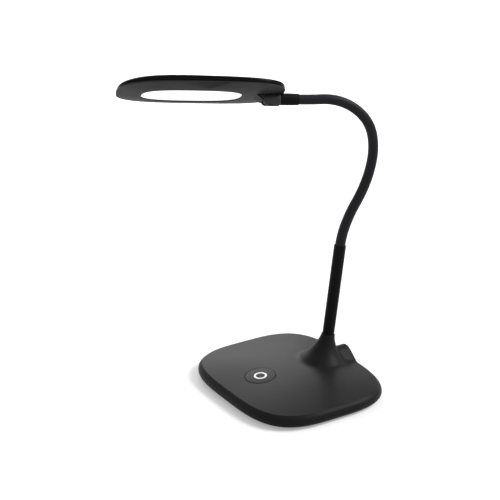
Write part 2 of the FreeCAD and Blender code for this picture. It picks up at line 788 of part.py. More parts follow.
def neck_nut():
    top = stem_height(NUT_SEAT_Z) - WASHER_THICK
    nut = hexagon(NUT_ACROSS_FLATS, top - NUT_THICK, top)
    return STEM.place(nut.cut(cylinder(STUD_RADIUS, top - NUT_THICK - OVERCUT, top + OVERCUT)))


def lower_sleeve():
    bottom = stem_height(SOCKET_FLOOR_Z) + STUD_FLANGE_THICK
    bore = SHEATH_RADIUS + NECK_CLEARANCE
    tip = SLEEVE_RADIUS - SLEEVE_CHAMFER
    profile = [
        (bore, bottom), (SLEEVE_RADIUS, bottom), (SLEEVE_RADIUS, -2 * SLEEVE_CHAMFER), (tip, 0), (bore, 0),
    ]
    return STEM.place(turned(profile))


# Flexible neck

def neck_arc(index, start, end, outer, inner):
    """A stretch of one arc as a bent tube; start and end are shares of the arc."""
    point, direction, normal = neck_station(index + start)
    turn = math.radians(NECK_BENDS[index])
    radius = ARC_LENGTH / turn
    outline = Part.Wire([Part.Circle(point, direction, outer).toShape()])
    hole = Part.Wire([Part.Circle(point, direction, inner).toShape()])
    section = Part.Face(outline).cut(Part.Face(hole))
    centre = point + normal * radius
    return section.revolve(centre, NECK_NORMAL * -1, math.degrees(turn) * (end - start))


def joint_relief(joint, way):
    """Everything beyond a shallow cone at a joint, seen from the link that lies along way."""
    point, direction, normal = neck_station(joint - 0.5)
    reach = SLEEVE_RADIUS + OVERCUT
    rise = reach * math.tan(math.radians(LINK_RELIEF))
    profile = [(0, -2 * reach), (reach, -2 * reach), (reach, LINK_GAP / 2 + rise), (0, LINK_GAP / 2)]
    frame = Frame(point, normal, (direction * way).cross(normal))
    return frame.place(turned(profile))


def neck_link(link, outer, inner):
    """Rigid stretch of the neck between two joints, half of each neighbouring arc."""
    lower_half = neck_arc(link - 1, 0.5, 1.0, outer, inner)
    upper_half = neck_arc(link, 0.0, 0.5, outer, inner)
    body = fuse([lower_half, upper_half])
    return cut(body, [joint_relief(link, 1), joint_relief(link + 1, -1)])


def stem_stub(outer, inner, bottom):
    """Straight stretch inside the lower sleeve and the arc from it to the first joint."""
    straight = STEM.place(ring(outer, inner, bottom, 0.0))
    chord = neck_station(0.5)[0] - STEM.origin
    turn = 2 * STEM.z_axis.getAngle(chord)
    radius = chord.Length / 2 / math.sin(turn / 2)
    towards = (chord - STEM.z_axis * chord.dot(STEM.z_axis)).normalize()
    outline = Part.Wire([Part.Circle(STEM.origin, STEM.z_axis, outer).toShape()])
    hole = Part.Wire([Part.Circle(STEM.origin, STEM.z_axis, inner).toShape()])
    section = Part.Face(outline).cut(Part.Face(hole))
    arc = section.revolve(STEM.origin + towards * radius, STEM.z_axis.cross(towards), math.degrees(turn))
    return cut(fuse([straight, arc]), [joint_relief(1, -1)])


def head_stub(outer, inner):
    """Half arc below the upper sleeve and the straight stretch inside it."""
    last = len(NECK_BENDS) - 1
    inside = ring(outer, inner, UPPER_SLEEVE_LENGTH - SLEEVE_GRIP, UPPER_SLEEVE_LENGTH)
    return cut(fuse([neck_arc(last, 0.5, 1.0, outer, inner), ARM.place(inside)]), [joint_relief(last + 1, 1)])


# Swivel at the end of the neck, drawn in the arm's axes

def upper_sleeve():
    start = SWIVEL_GAP
    end = UPPER_SLEEVE_LENGTH
    bore = SHEATH_RADIUS + NECK_CLEARANCE
    shaft = SWIVEL_RADIUS + SWIVEL_CLEARANCE
    profile = [
        (shaft, start), (UPPER_SLEEVE_RADIUS - SLEEVE_CHAMFER, start),
        (UPPER_SLEEVE_RADIUS, start + SLEEVE_CHAMFER),
        (UPPER_SLEEVE_RADIUS, end * 0.45), (UPPER_SLEEVE_TIP_RADIUS, end - 2 * SLEEVE_CHAMFER),
        (UPPER_SLEEVE_TIP_RADIUS - SLEEVE_CHAMFER / 2, end),
        (bore, end), (bore, start + SWIVEL_BEARING), (shaft, start + SWIVEL_BEARING),
    ]
    return ARM.place(turned(profile))


def swivel_tube():
    return ARM.place(ring(SWIVEL_RADIUS, SWIVEL_RADIUS - SWIVEL_WALL, -SWIVEL_INSERT, SWIVEL_REACH))


def swivel_clip():
    return ARM.place(ring(CLIP_RADIUS, SWIVEL_RADIUS, CLIP_TOP - CLIP_THICK, CLIP_TOP))


def underside(x):
    """Height of the head's underside on its centre line, behind the opening."""
    rear_rim = OPENING_CENTRE - OPENING_HALF_LENGTH - RIM_LAND
    share = (x + HEAD_HALF_LENGTH) / (rear_rim + HEAD_HALF_LENGTH)
    return -FRAME_EDGE - (RIM_DEPTH - FRAME_EDGE) * share


def along_head(radius, x0, x1):
    """Round bar on the neck's axis, in the head's axes."""
    return Part.makeCylinder(radius, x1 - x0, Vector(x0, 0, -NECK_AXIS_DROP), Vector(1, 0, 0))


def across_head(radius, y0, y1):
    """Round bar on the hinge pin's axis, in the head's axes."""
    return Part.makeCylinder(radius, y1 - y0, Vector(-PIN_BACK, y0, -PIN_DROP), Vector(0, 1, 0))


def knuckle():
    """Swivelling end piece with two round cheeks about the hinge pin, flat under the head."""
    rear = -HEAD_TO_SEAM
    reach = KNUCKLE_RADIUS + OVERCUT
    taper = Part.makeCone(
        UPPER_SLEEVE_RADIUS, KNUCKLE_RADIUS, KNUCKLE_TAPER, Vector(rear, 0, -NECK_AXIS_DROP), Vector(1, 0, 0)
    )
    barrel = along_head(KNUCKLE_RADIUS, rear + KNUCKLE_TAPER, -PIN_BACK)
    cheeks = along_head(KNUCKLE_RADIUS, -PIN_BACK - OVERCUT, -PIN_BACK + CHEEK_RADIUS)
    cheeks = cheeks.common(across_head(CHEEK_RADIUS, -reach, reach))
    back, front = rear - OVERCUT, -PIN_BACK + CHEEK_RADIUS + OVERCUT
    roof_line = [
        Vector(back, -reach, underside(back) - KNUCKLE_HEADROOM),
        Vector(front, -reach, underside(front) - KNUCKLE_HEADROOM),
        Vector(front, -reach, reach),
        Vector(back, -reach, reach),
    ]
    roof = Part.Face(Part.makePolygon(roof_line + [roof_line[0]])).extrude(Vector(0, 2 * reach, 0))
    slot_back = -PIN_BACK - LUG_RADIUS - KNUCKLE_CLEARANCE
    slot = box(slot_back, front, -SLOT_HALF, SLOT_HALF, -PIN_DROP - reach, reach)
    shaft = along_head(SWIVEL_RADIUS, rear - OVERCUT, rear + SWIVEL_INSERT)
    pin_hole = across_head(PIN_RADIUS, -reach, PIN_TIP)
    screw_seat = across_head(HINGE_HEAD_RADIUS, -reach, -HINGE_SEAT)
    nut_seat = across_head(HINGE_HEAD_RADIUS, 0, SLOT_HALF + HINGE_NUT_THICK)
    lead_ways = [
        along_head(LEAD_WAY_RADIUS, rear, -LEAD_ENTRY_BACK),
        cylinder(LEAD_WAY_RADIUS, -NECK_AXIS_DROP, reach, -LEAD_ENTRY_BACK, 0.0),
    ]
    tools = [roof, slot, shaft, pin_hole, screw_seat, nut_seat] + lead_ways
    return HEAD.place(cut(fuse([taper, barrel, cheeks]), tools))


# Head

def head_outline(inset, z, taper=0.0):
    """The head's outline, with its tip drawn back by taper."""
    half_length = HEAD_HALF_LENGTH - inset - taper / 2
    return superellipse(half_length, HEAD_HALF_WIDTH - inset, HEAD_EXPONENT, z, -taper / 2)


def opening_outline(margin, z):
    length = OPENING_HALF_LENGTH + margin
    width = OPENING_HALF_WIDTH + margin
    return superellipse(length, width, OPENING_EXPONENT, z, OPENING_CENTRE)


def crown_outline(inset, z):
    """Outline of the top shell at a height; it draws back and leans up towards the tip."""
    share = max(0.0, z - SHELL_SIDE) / (SHELL_CROWN - SHELL_SIDE)
    outline = head_outline(inset, z, SHELL_TAPER * share ** 2)
    lean = math.atan(SHELL_RISE / HEAD_HALF_LENGTH * z / SHELL_CROWN)
    outline.rotate(Vector(0, 0, z), Vector(0, 1, 0), -math.degrees(lean))
    return outline


def screw_places():
    return [(-HEAD_SCREW_BACK, side * HEAD_SCREW_SIDE) for side in (-1, 1)]


def head_top_shell():
    """Thin glossy cover, lower towards the tip, with two bosses for the screws."""
    shoulder = SHELL_EDGE + SHELL_ROUND
    crown = [
        crown_outline(0, 0), crown_outline(0, SHELL_SIDE), crown_outline(0, 2 * SHELL_SIDE),
        crown_outline(0.1, SHELL_EDGE), crown_outline(SHELL_ROUND * 0.35, SHELL_EDGE + SHELL_ROUND * 0.65),
        crown_outline(SHELL_ROUND, shoulder), crown_outline(SHELL_ROUND * 2.3, (shoulder + SHELL_CROWN) / 2),
        crown_outline(SHELL_ROUND * 6.4, SHELL_CROWN),
    ]
    inside = [
        head_outline(SHELL_WALL, -OVERCUT), head_outline(SHELL_WALL, SHELL_EDGE / 2),
        head_outline(SHELL_WALL + SHELL_COVE, SHELL_CEILING, SHELL_TAPER / 2),
    ]
    shell = loft(crown).cut(loft(inside))
    root = SHELL_CEILING + ROOT_DEPTH
    bosses = [cylinder(HEAD_BOSS_RADIUS, BOSS_FOOT, root, x, y) for x, y in screw_places()]
    pilots = [cylinder(HEAD_SCREW_RADIUS, -OVERCUT, HEAD_PILOT_TOP, x, y) for x, y in screw_places()]
    return HEAD.place(cut(fuse([shell] + bosses), pilots))


def frame_floor():
    """Inner faces of the bottom frame, a wall's thickness above the underside."""
    upper = head_outline(SHELL_WALL + FRAME_LIP, -FRAME_EDGE + FRAME_WALL)
    lower = opening_outline(RIM_LAND + FRAME_EDGE, -RIM_DEPTH + FRAME_WALL)
    return upper, lower


def hinge_lug():
    """Tongue under the frame with a round end about the pin."""
    round_end = across_head(LUG_RADIUS, -LUG_HALF, LUG_HALF)
    root = underside(-PIN_BACK) + ROOT_DEPTH
    front = -PIN_BACK + CHEEK_RADIUS + 2 * KNUCKLE_CLEARANCE
    web = box(-PIN_BACK - LUG_RADIUS, front, -LUG_HALF, LUG_HALF, -PIN_DROP, root)
    return fuse([round_end, web])


def hinge_fairing():
    """Block that carries the knuckle's round form on to a slanted face in front of the cheeks."""
    outline = [
        Vector(-FAIRING_TOP_BACK, -KNUCKLE_RADIUS, underside(-FAIRING_TOP_BACK) + ROOT_DEPTH),
        Vector(-FAIRING_LOW_BACK, -KNUCKLE_RADIUS, -FAIRING_LOW_DROP),
        Vector(-FAIRING_REAR_BACK, -KNUCKLE_RADIUS, -FAIRING_LOW_DROP),
        Vector(-FAIRING_REAR_BACK, -KNUCKLE_RADIUS, underside(-FAIRING_REAR_BACK) + ROOT_DEPTH),
    ]
    block = Part.Face(Part.makePolygon(outline + [outline[0]])).extrude(Vector(0, 2 * KNUCKLE_RADIUS, 0))
    block = block.common(along_head(KNUCKLE_RADIUS, -PIN_BACK, -FAIRING_TOP_BACK + OVERCUT))
    room = across_head(CHEEK_RADIUS + KNUCKLE_CLEARANCE, -KNUCKLE_RADIUS - OVERCUT, KNUCKLE_RADIUS + OVERCUT)
    return block.cut(room)


def head_frame_shell():
    """Underside of the head: sloping borders, recessed opening, hinge lug and saddle."""
    edge = prism(head_outline(0, -FRAME_EDGE), FRAME_EDGE)
    border = loft([head_outline(0, -FRAME_EDGE), opening_outline(RIM_LAND, -RIM_DEPTH)])
    body = fuse([edge, border, hinge_lug(), hinge_fairing()])
    upper, lower = frame_floor()
    room = SHELL_CROWN
    ledge = -RIM_DEPTH + RECESS
    hollows = [
        loft([upper, lower]), prism(upper, room),
        prism(opening_outline(DIFFUSER_LEDGE + DIFFUSER_CLEARANCE, ledge), room),
        prism(opening_outline(0, -RIM_DEPTH - OVERCUT), RECESS + 2 * OVERCUT),
    ]
    saddle_radius = UPPER_SLEEVE_RADIUS + KNUCKLE_CLEARANCE + WASHER_FIT
    saddle = along_head(saddle_radius, -HEAD_HALF_LENGTH - OVERCUT, -HEAD_TO_SEAM + KNUCKLE_TAPER)
    screw_heads = [
        cylinder(HEAD_SCREW_HEAD_RADIUS + SEAT_CLEARANCE, -room, underside(x) + HEAD_SCREW_SINK, x, y)
        for x, y in screw_places()
    ]
    shanks = [cylinder(HEAD_SCREW_RADIUS, -room, room, x, y) for x, y in screw_places()]
    pin_hole = across_head(PIN_RADIUS + PIN_CLEARANCE, -KNUCKLE_RADIUS, KNUCKLE_RADIUS)
    lead_hole = cylinder(HEAD_LEAD_RADIUS + LEAD_GAP, -room, room, -LEAD_ENTRY_BACK, 0)
    return HEAD.place(cut(body, hollows + [saddle, pin_hole, lead_hole] + screw_heads + shanks))


def diffuser():
    return HEAD.place(prism(opening_outline(DIFFUSER_LEDGE, -RIM_DEPTH + RECESS), DIFFUSER_THICK))


def reflector_tray():
    height = BOARD_FLOOR - TRAY_FLOOR
    outer = prism(opening_outline(TRAY_STEP + TRAY_WALL, TRAY_FLOOR), height)
    inner = prism(opening_outline(TRAY_STEP, TRAY_FLOOR - OVERCUT), height + 2 * OVERCUT)
    return HEAD.place(outer.cut(inner))


def led_board():
    return HEAD.place(prism(opening_outline(TRAY_STEP + TRAY_WALL, BOARD_FLOOR), LED_BOARD_THICK))


def leds():
    """Rows of surface LEDs facing the diffuser."""
    pitch_x = LED_SPREAD_X * OPENING_HALF_LENGTH / LED_COLUMNS
    pitch_y = LED_SPREAD_Y * OPENING_HALF_WIDTH / LED_ROWS
    half = LED_SIZE / 2
    chips = []
    for column in range(LED_COLUMNS):
        for row in range(LED_ROWS):
            x = OPENING_CENTRE + (column - (LED_COLUMNS - 1) / 2) * pitch_x
            y = (row - (LED_ROWS - 1) / 2) * pitch_y
            chips.append(box(x - half, x + half, y - half, y + half, BOARD_FLOOR - LED_HEIGHT, BOARD_FLOOR))
    return HEAD.place(Part.makeCompound(chips))


def head_screws():
    screws = []
    for x, y in screw_places():
        seat = underside(x) + HEAD_SCREW_SINK
        foot = seat - HEAD_SCREW_HEAD_THICK
        shank = cylinder(HEAD_SCREW_RADIUS, foot, HEAD_SCREW_TIP, x, y)
        head = cylinder(HEAD_SCREW_HEAD_RADIUS, foot, seat, x, y)
        screws.append(fuse([shank, head]))
    return HEAD.place(Part.makeCompound(screws))


def hinge_screw():
    """Pin of the hinge, put in from the far cheek; its tip stays inside the near one."""
    shank = across_head(PIN_RADIUS, -HINGE_SEAT, PIN_TIP)
    head = across_head(HINGE_HEAD_RADIUS - SEAT_CLEARANCE, -HINGE_SEAT - HINGE_HEAD_THICK, -HINGE_SEAT)
    return HEAD.place(fuse([shank, head]))


def hinge_nut():
    """Nut pressed into the near cheek from the slot."""
    nut = across_head(HINGE_HEAD_RADIUS - SEAT_CLEARANCE, SLOT_HALF, SLOT_HALF + HINGE_NUT_THICK)
    return HEAD.place(nut.cut(across_head(PIN_RADIUS, 0, KNUCKLE_RADIUS)))


def hinge_washers():
    bands = [(LUG_HALF + WASHER_FIT, SLOT_HALF), (-SLOT_HALF, -LUG_HALF - WASHER_FIT)]
    hole = across_head(PIN_RADIUS, -KNUCKLE_RADIUS, KNUCKLE_RADIUS)
    return HEAD.place(Part.makeCompound([
        across_head(LUG_RADIUS - WASHER_EDGE, low, high).cut(hole) for low, high in bands
    ]))


def head_lead():
    board_edge = OPENING_CENTRE - OPENING_HALF_LENGTH - TRAY_STEP - TRAY_WALL
    lead_z = BOARD_FLOOR + LED_BOARD_THICK - HEAD_LEAD_RADIUS - 0.1
    points = [
        Vector(-LEAD_ENTRY_BACK, 0, underside(-LEAD_ENTRY_BACK) + 0.1),
        Vector(-LEAD_ENTRY_BACK, 0, lead_z), Vector(board_edge, 0, lead_z),
    ]
    return HEAD.place(round_lead(points, HEAD_LEAD_RADIUS, HEAD_LEAD_BEND))


def build():
    """Every node of the lamp by name."""
    parts = {
        "base_cover": base_cover(),
        "base_plate": base_plate(),
        "ballast_plate": ballast_plate(),
        "ballast_screws": ballast_screws(),
        "rubber_pad": rubber_pad(),
        "base_screws": base_screws(),
        "button_cap": button_cap(),
        "button_ring": button_ring(),
        "switch_plunger": switch_plunger(),
        "switch_body": switch_body(),
        "control_board": control_board(),
        "board_screws": board_screws(),
        "driver_chip": driver_chip(),
        "driver_coil": driver_coil(),
        "board_capacitors": board_capacitors(),
        "lead_connector": lead_connector(),
        "jack_body": jack_body(),
        "jack_pin": jack_pin(),
        "jack_lead": jack_lead(),
        "neck_lead": neck_lead(),
        "neck_stud": neck_stud(),
        "neck_washer": neck_washer(),
        "neck_nut": neck_nut(),
        "lower_sleeve": lower_sleeve(),
        "lower_sheath": stem_stub(SHEATH_RADIUS, SHEATH_BORE, stud_top() + LINK_GAP),
        "lower_core": stem_stub(CORE_RADIUS, CORE_BORE_RADIUS, stud_top() - CORE_GRIP),
        "upper_sheath": head_stub(SHEATH_RADIUS, SHEATH_BORE),
        "upper_core": head_stub(CORE_RADIUS, CORE_BORE_RADIUS),
        "upper_sleeve": upper_sleeve(),
        "swivel_tube": swivel_tube(),
        "swivel_clip": swivel_clip(),
        "knuckle": knuckle(),
        "head_top_shell": head_top_shell(),
        "head_frame": head_frame_shell(),
        "diffuser": diffuser(),
        "reflector_tray": reflector_tray(),
        "led_board": led_board(),
        "leds": leds(),
        "head_screws": head_screws(),
        "hinge_screw": hinge_screw(),
        "hinge_nut": hinge_nut(),
        "hinge_washers": hinge_washers(),
        "head_lead": head_lead(),
    }
    for link in range(1, len(NECK_BENDS)):
        parts[f"neck_sheath_{link}"] = neck_link(link, SHEATH_RADIUS, SHEATH_BORE)
        parts[f"neck_core_{link}"] = neck_link(link, CORE_RADIUS, CORE_BORE_RADIUS)
    return parts


os.makedirs("parts", exist_ok=True)
for name, shape in build().items():
    shape.exportStep(f"parts/{name}.step")
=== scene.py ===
"""Gooseneck desk lamp: looks over the CAD frame, in metres, +Z up, front towards -Y."""

import json
import logging
import math
from collections.abc import Callable, Sequence
from dataclasses import dataclass
from enum import Enum

import bmesh
import bpy
from mathutils import Matrix, Vector


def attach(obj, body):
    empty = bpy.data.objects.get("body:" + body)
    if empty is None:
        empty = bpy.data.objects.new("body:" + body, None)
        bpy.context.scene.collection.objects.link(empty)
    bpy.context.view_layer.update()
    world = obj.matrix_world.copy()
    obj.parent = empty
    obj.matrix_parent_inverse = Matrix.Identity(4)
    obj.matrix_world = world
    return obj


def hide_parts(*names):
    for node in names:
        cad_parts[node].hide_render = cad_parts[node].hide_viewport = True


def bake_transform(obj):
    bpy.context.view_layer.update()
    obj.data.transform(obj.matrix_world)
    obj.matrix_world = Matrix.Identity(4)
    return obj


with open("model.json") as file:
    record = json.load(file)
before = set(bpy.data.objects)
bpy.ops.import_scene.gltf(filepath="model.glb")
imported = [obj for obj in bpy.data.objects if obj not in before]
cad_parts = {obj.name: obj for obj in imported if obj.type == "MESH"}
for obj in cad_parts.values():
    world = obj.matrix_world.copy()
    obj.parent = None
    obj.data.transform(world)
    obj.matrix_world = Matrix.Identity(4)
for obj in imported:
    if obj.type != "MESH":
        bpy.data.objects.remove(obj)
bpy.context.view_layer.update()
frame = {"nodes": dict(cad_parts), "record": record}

log = logging.getLogger("lamp")

MM = 0.001
SHARP_ANGLE = math.radians(28)
ROUND_SEGMENTS = 96
BROAD_SCALE = 22.0
BROAD_DETAIL = 3.0

Rgb = tuple[float, float, float]
Ring = list[Vector]
Nodes = bpy.types.Nodes
Links = bpy.types.NodeLinks
Socket = bpy.types.NodeSocket


class Axes:
    """A local set of right-handed axes; points are given in millimetres."""

    def __init__(self, origin: Vector, x_axis: Vector, y_axis: Vector) -> None:
        """Set the axes up.

        Args:
            origin: Where the local origin is, in millimetres.
            x_axis: Local X as a direction.
            y_axis: Local Y as a direction, square to X.
        """
        self.origin = origin
        self.x_axis = x_axis.normalized()
        self.y_axis = y_axis.normalized()
        self.z_axis = self.x_axis.cross(self.y_axis)

    def at(self, x: float, y: float, z: float) -> Vector:
        """Return the point, in metres."""
        place = self.origin + self.x_axis * x + self.y_axis * y + self.z_axis * z
        return place * MM

    def matrix(self) -> Matrix:
        """Return the placement, in metres, of a mesh drawn in local millimetres."""
        turn = Matrix((self.x_axis, self.y_axis, self.z_axis)).transposed().to_4x4()
        return Matrix.Translation(self.origin * MM) @ turn @ Matrix.Scale(MM, 4)


def superellipse(half_x: float, half_y: float, exponent: float, count: int) -> list[tuple[float, float]]:
    """Points of |x/a|^n + |y/b|^n = 1, anticlockwise.

    Args:
        half_x: Half the width.
        half_y: Half the length.
        exponent: The power n; 2 gives an ellipse.
        count: How many points.

    Returns:
        The points as (x, y).
    """
    points = []
    for i in range(count):
        angle = 2 * math.pi * i / count
        c, s = math.cos(angle), math.sin(angle)
        reach = (abs(c) ** exponent + abs(s) ** exponent) ** (-1 / exponent)
        points.append((half_x * reach * c, half_y * reach * s))
    return points


def ring_stack(
    rings: Sequence[Ring], cap_start: bool = False, cap_end: bool = False, joined: bool = False
) -> bmesh.types.BMesh:
    """Grow a skin ring by ring from a circle.

    Args:
        rings: Rings of equally many points, in metres.
        cap_start: Close the first ring with a face.
        cap_end: Close the last ring with a face.
        joined: Join the last ring to the first.

    Returns:
        The mesh, its normals outward.
    """
    mesh = bmesh.new()
    loop = list(bmesh.ops.create_circle(mesh, segments=len(rings[0]), radius=1.0)["verts"])
    first = loop
    place_ring(loop, rings[0])
    for ring in rings[1:]:
        loop = grow(mesh, loop)
        place_ring(loop, ring)
    if cap_start:
        bmesh.ops.contextual_create(mesh, geom=first)
    if cap_end:
        bmesh.ops.contextual_create(mesh, geom=loop)
    if joined:
        edges = loop_edges(first) + loop_edges(loop)
        bmesh.ops.bridge_loops(mesh, edges=edges)
    bmesh.ops.recalc_face_normals(mesh, faces=mesh.faces)
    return mesh


def place_ring(loop: Sequence[bmesh.types.BMVert], ring: Ring) -> None:
    """Move a loop's vertices to a ring's points."""
    for vert, point in zip(loop, ring):
        vert.co = point


def loop_edges(loop: Sequence[bmesh.types.BMVert]) -> list[bmesh.types.BMEdge]:
    """Return the edges between neighbouring vertices of a closed loop."""
    members = set(loop)
    edges = {edge for vert in loop for edge in vert.link_edges if edge.other_vert(vert) in members}
    return list(edges)


def grow(mesh: bmesh.types.BMesh, loop: Sequence[bmesh.types.BMVert]) -> list[bmesh.types.BMVert]:
    """Extrude a closed loop.

    Args:
        mesh: The mesh that holds it.
        loop: Its vertices in order.

    Returns:
        The new loop in the same order.
    """
    made = bmesh.ops.extrude_edge_only(mesh, edges=loop_edges(loop))["geom"]
    fresh = {item for item in made if isinstance(item, bmesh.types.BMVert)}
    following = []
    for vert in loop:
        partner = next(edge.other_vert(vert) for edge in vert.link_edges if edge.other_vert(vert) in fresh)
        following.append(partner)
    return following


def lathe(
    profile: Sequence[tuple[float, float]], axes: Axes, segments: int = ROUND_SEGMENTS
) -> bmesh.types.BMesh:
    """Turn a closed (radius, height) profile, in millimetres, about local Z.

    Args:
        profile: Points of the closed section.
        axes: Where the turned piece stands.
        segments: Steps round the axis.

    Returns:
        The mesh in the row frame.
    """
    mesh = bmesh.new()
    verts = [mesh.verts.new((radius, 0.0, height)) for radius, height in profile]
    edges = [mesh.edges.new((a, b)) for a, b in zip(verts, verts[1:] + verts[:1])]
    bmesh.ops.spin(
        mesh, geom=verts + edges, cent=(0, 0, 0), axis=(0, 0, 1),
        angle=2 * math.pi, steps=segments, use_merge=True,
    )
    bmesh.ops.remove_doubles(mesh, verts=mesh.verts, dist=1e-5)
    bmesh.ops.dissolve_degenerate(mesh, dist=1e-6, edges=mesh.edges)
    bmesh.ops.recalc_face_normals(mesh, faces=mesh.faces)
    bmesh.ops.transform(mesh, matrix=axes.matrix(), verts=mesh.verts)
    return mesh


def rounded(corners: Sequence[tuple[float, float, float]], steps: int = 4) -> list[tuple[float, float]]:
    """Round the corners of a closed profile.

    Args:
        corners: (radius, height, corner radius) of each corner.
        steps: Chords per rounded corner.

    Returns:
        The profile's points.
    """
    points: list[tuple[float, float]] = []
    count = len(corners)
    for i, (x, y, radius) in enumerate(corners):
        here = Vector((x, y))
        if radius <= 0:
            points.append((x, y))
            continue
        before = Vector(corners[i - 1][:2]) - here
        after = Vector(corners[(i + 1) % count][:2]) - here
        half = before.angle(after) / 2
        trim = min(radius / math.tan(half), before.length * 0.49, after.length * 0.49)
        start = here + before.normalized() * trim
        end = here + after.normalized() * trim
        for step in range(steps + 1):
            share = step / steps
            curve = start.lerp(here, share).lerp(here.lerp(end, share), share)
            points.append((curve.x, curve.y))
    return points


def finished(
    mesh: bmesh.types.BMesh, name: str, material: bpy.types.Material, sharp: float = SHARP_ANGLE
) -> bpy.types.Object:
    """Turn a bmesh into a smooth-shaded piece of the scene.

    Args:
        mesh: The mesh, freed afterwards.
        name: The piece's name.
        material: Its material.
        sharp: Edges that turn by more than this stay sharp.

    Returns:
        The object.
    """
    data = bpy.data.meshes.new(name)
    for face in mesh.faces:
        face.smooth = True
    mesh.to_mesh(data)
    mesh.free()
    data.set_sharp_from_angle(angle=sharp)
    data.materials.append(material)
    piece = bpy.data.objects.new(name, data)
    bpy.context.scene.collection.objects.link(piece)
    return piece


def carve(piece: bpy.types.Object, cutters: Sequence[bmesh.types.BMesh], sharp: float = SHARP_ANGLE) -> None:
    """Cut closed meshes out of a piece and keep the result as its own mesh.

    Args:
        piece: The piece to cut.
        cutters: Closed meshes, freed afterwards.
        sharp: Edges that turn by more than this stay sharp.
    """
    helpers = []
    for i, cutter in enumerate(cutters):
        helper = finished(cutter, f"cutter_{i}", piece.data.materials[0])
        modifier = piece.modifiers.new(f"cut_{i}", "BOOLEAN")
        modifier.operation = "DIFFERENCE"
        modifier.solver = "EXACT"
        modifier.object = helper
        helpers.append(helper)
    graph = bpy.context.evaluated_depsgraph_get()
    cut = bpy.data.meshes.new_from_object(piece.evaluated_get(graph))
    piece.modifiers.clear()
    whole = piece.data
    piece.data = cut
    bpy.data.meshes.remove(whole)
    cut.name = piece.name
    cut.set_sharp_from_angle(angle=sharp)
    for helper in helpers:
        data = helper.data
        bpy.data.objects.remove(helper)
        bpy.data.meshes.remove(data)


def merged_copy(node: str, name: str, material: bpy.types.Material) -> bpy.types.Object:
    """Copy a CAD node with its loose triangles merged, for smooth shading.

    Args:
        node: The CAD node's name.
        name: The new piece's name.
        material: Its material.

    Returns:
        The copy.
    """
    mesh = bmesh.new()
    mesh.from_mesh(frame["nodes"][node].data)
    bmesh.ops.remove_doubles(mesh, verts=mesh.verts, dist=2e-6)
    flat = math.radians(0.5)
    bmesh.ops.dissolve_limit(mesh, angle_limit=flat, verts=mesh.verts, edges=mesh.edges)
    bmesh.ops.recalc_face_normals(mesh, faces=mesh.faces)
    return finished(mesh, name, material)


def soften(piece: bpy.types.Object, width: float, segments: int = 3) -> None:
    """Round a piece's sharp edges with a live bevel.

    Args:
        piece: The piece.
        width: The bevel's width in millimetres.
        segments: Steps across it.
    """
    modifier = piece.modifiers.new("edge", "BEVEL")
    modifier.width = width * MM
    modifier.segments = segments
    modifier.limit_method = "ANGLE"
    modifier.angle_limit = SHARP_ANGLE
    modifier.harden_normals = True


class Pattern(Enum):
    """How a finish varies over its surface."""

    GRAIN = "grain"
    BRUSHED = "brushed"
    WEAVE = "weave"
    TRACKS = "tracks"


@dataclass(frozen=True)
class Finish:
    """A procedural surface.

    Args:
        name: The material's name.
        colour: The main colour, linear.
        second: The colour it drifts towards.
        roughness: Mean roughness.
        spread: How far the roughness drifts either way.
        scale: Features per metre of the fine pattern.
        relief: Height of the fine pattern in metres.
        metallic: 1 for bare metal.
        specular: Specular level of the dielectric.
        glow: Emission strength; on the diffuser this is painted light, standing in for light that falls on
            it.
        pattern: How the fine pattern runs.
    """

    name: str
    colour: Rgb
    second: Rgb
    roughness: float
    spread: float = 0.04
    scale: float = 1500.0
    relief: float = 0.00002
    metallic: float = 0.0
    specular: float = 0.5
    glow: float = 0.0
    pattern: Pattern = Pattern.GRAIN

    def material(self) -> bpy.types.Material:
        """Return the finish's material, made once."""
        name = f"look_{self.name}"
        known = bpy.data.materials.get(name)
        if known is not None:
            return known
        material = bpy.data.materials.new(name)
        material.use_nodes = True
        nodes = material.node_tree.nodes
        links = material.node_tree.links
        shader = nodes["Principled BSDF"]
        surface = nodes.new("ShaderNodeGroup")
        surface.node_tree = pattern_group(self.pattern)
        surface.inputs["Colour"].default_value = (*self.colour, 1)
        surface.inputs["Second"].default_value = (*self.second, 1)
        surface.inputs["Roughness"].default_value = self.roughness
        surface.inputs["Spread"].default_value = self.spread
        surface.inputs["Scale"].default_value = self.scale
        bump = nodes.new("ShaderNodeBump")
        bump.inputs["Distance"].default_value = self.relief
        bump.inputs["Strength"].default_value = 1.0
        links.new(surface.outputs["Height"], bump.inputs["Height"])
        links.new(surface.outputs["Colour"], shader.inputs["Base Color"])
        links.new(surface.outputs["Roughness"], shader.inputs["Roughness"])
        links.new(bump.outputs["Normal"], shader.inputs["Normal"])
        shader.inputs["Metallic"].default_value = self.metallic
        shader.inputs["Specular IOR Level"].default_value = self.specular
        # The glow is painted light: emission that lifts the surface in place of light falling on it, used on
        # the diffuser.
        if self.glow > 0:
            links.new(surface.outputs["Colour"], shader.inputs["Emission Color"])
            shader.inputs["Emission Strength"].default_value = self.glow
        return material


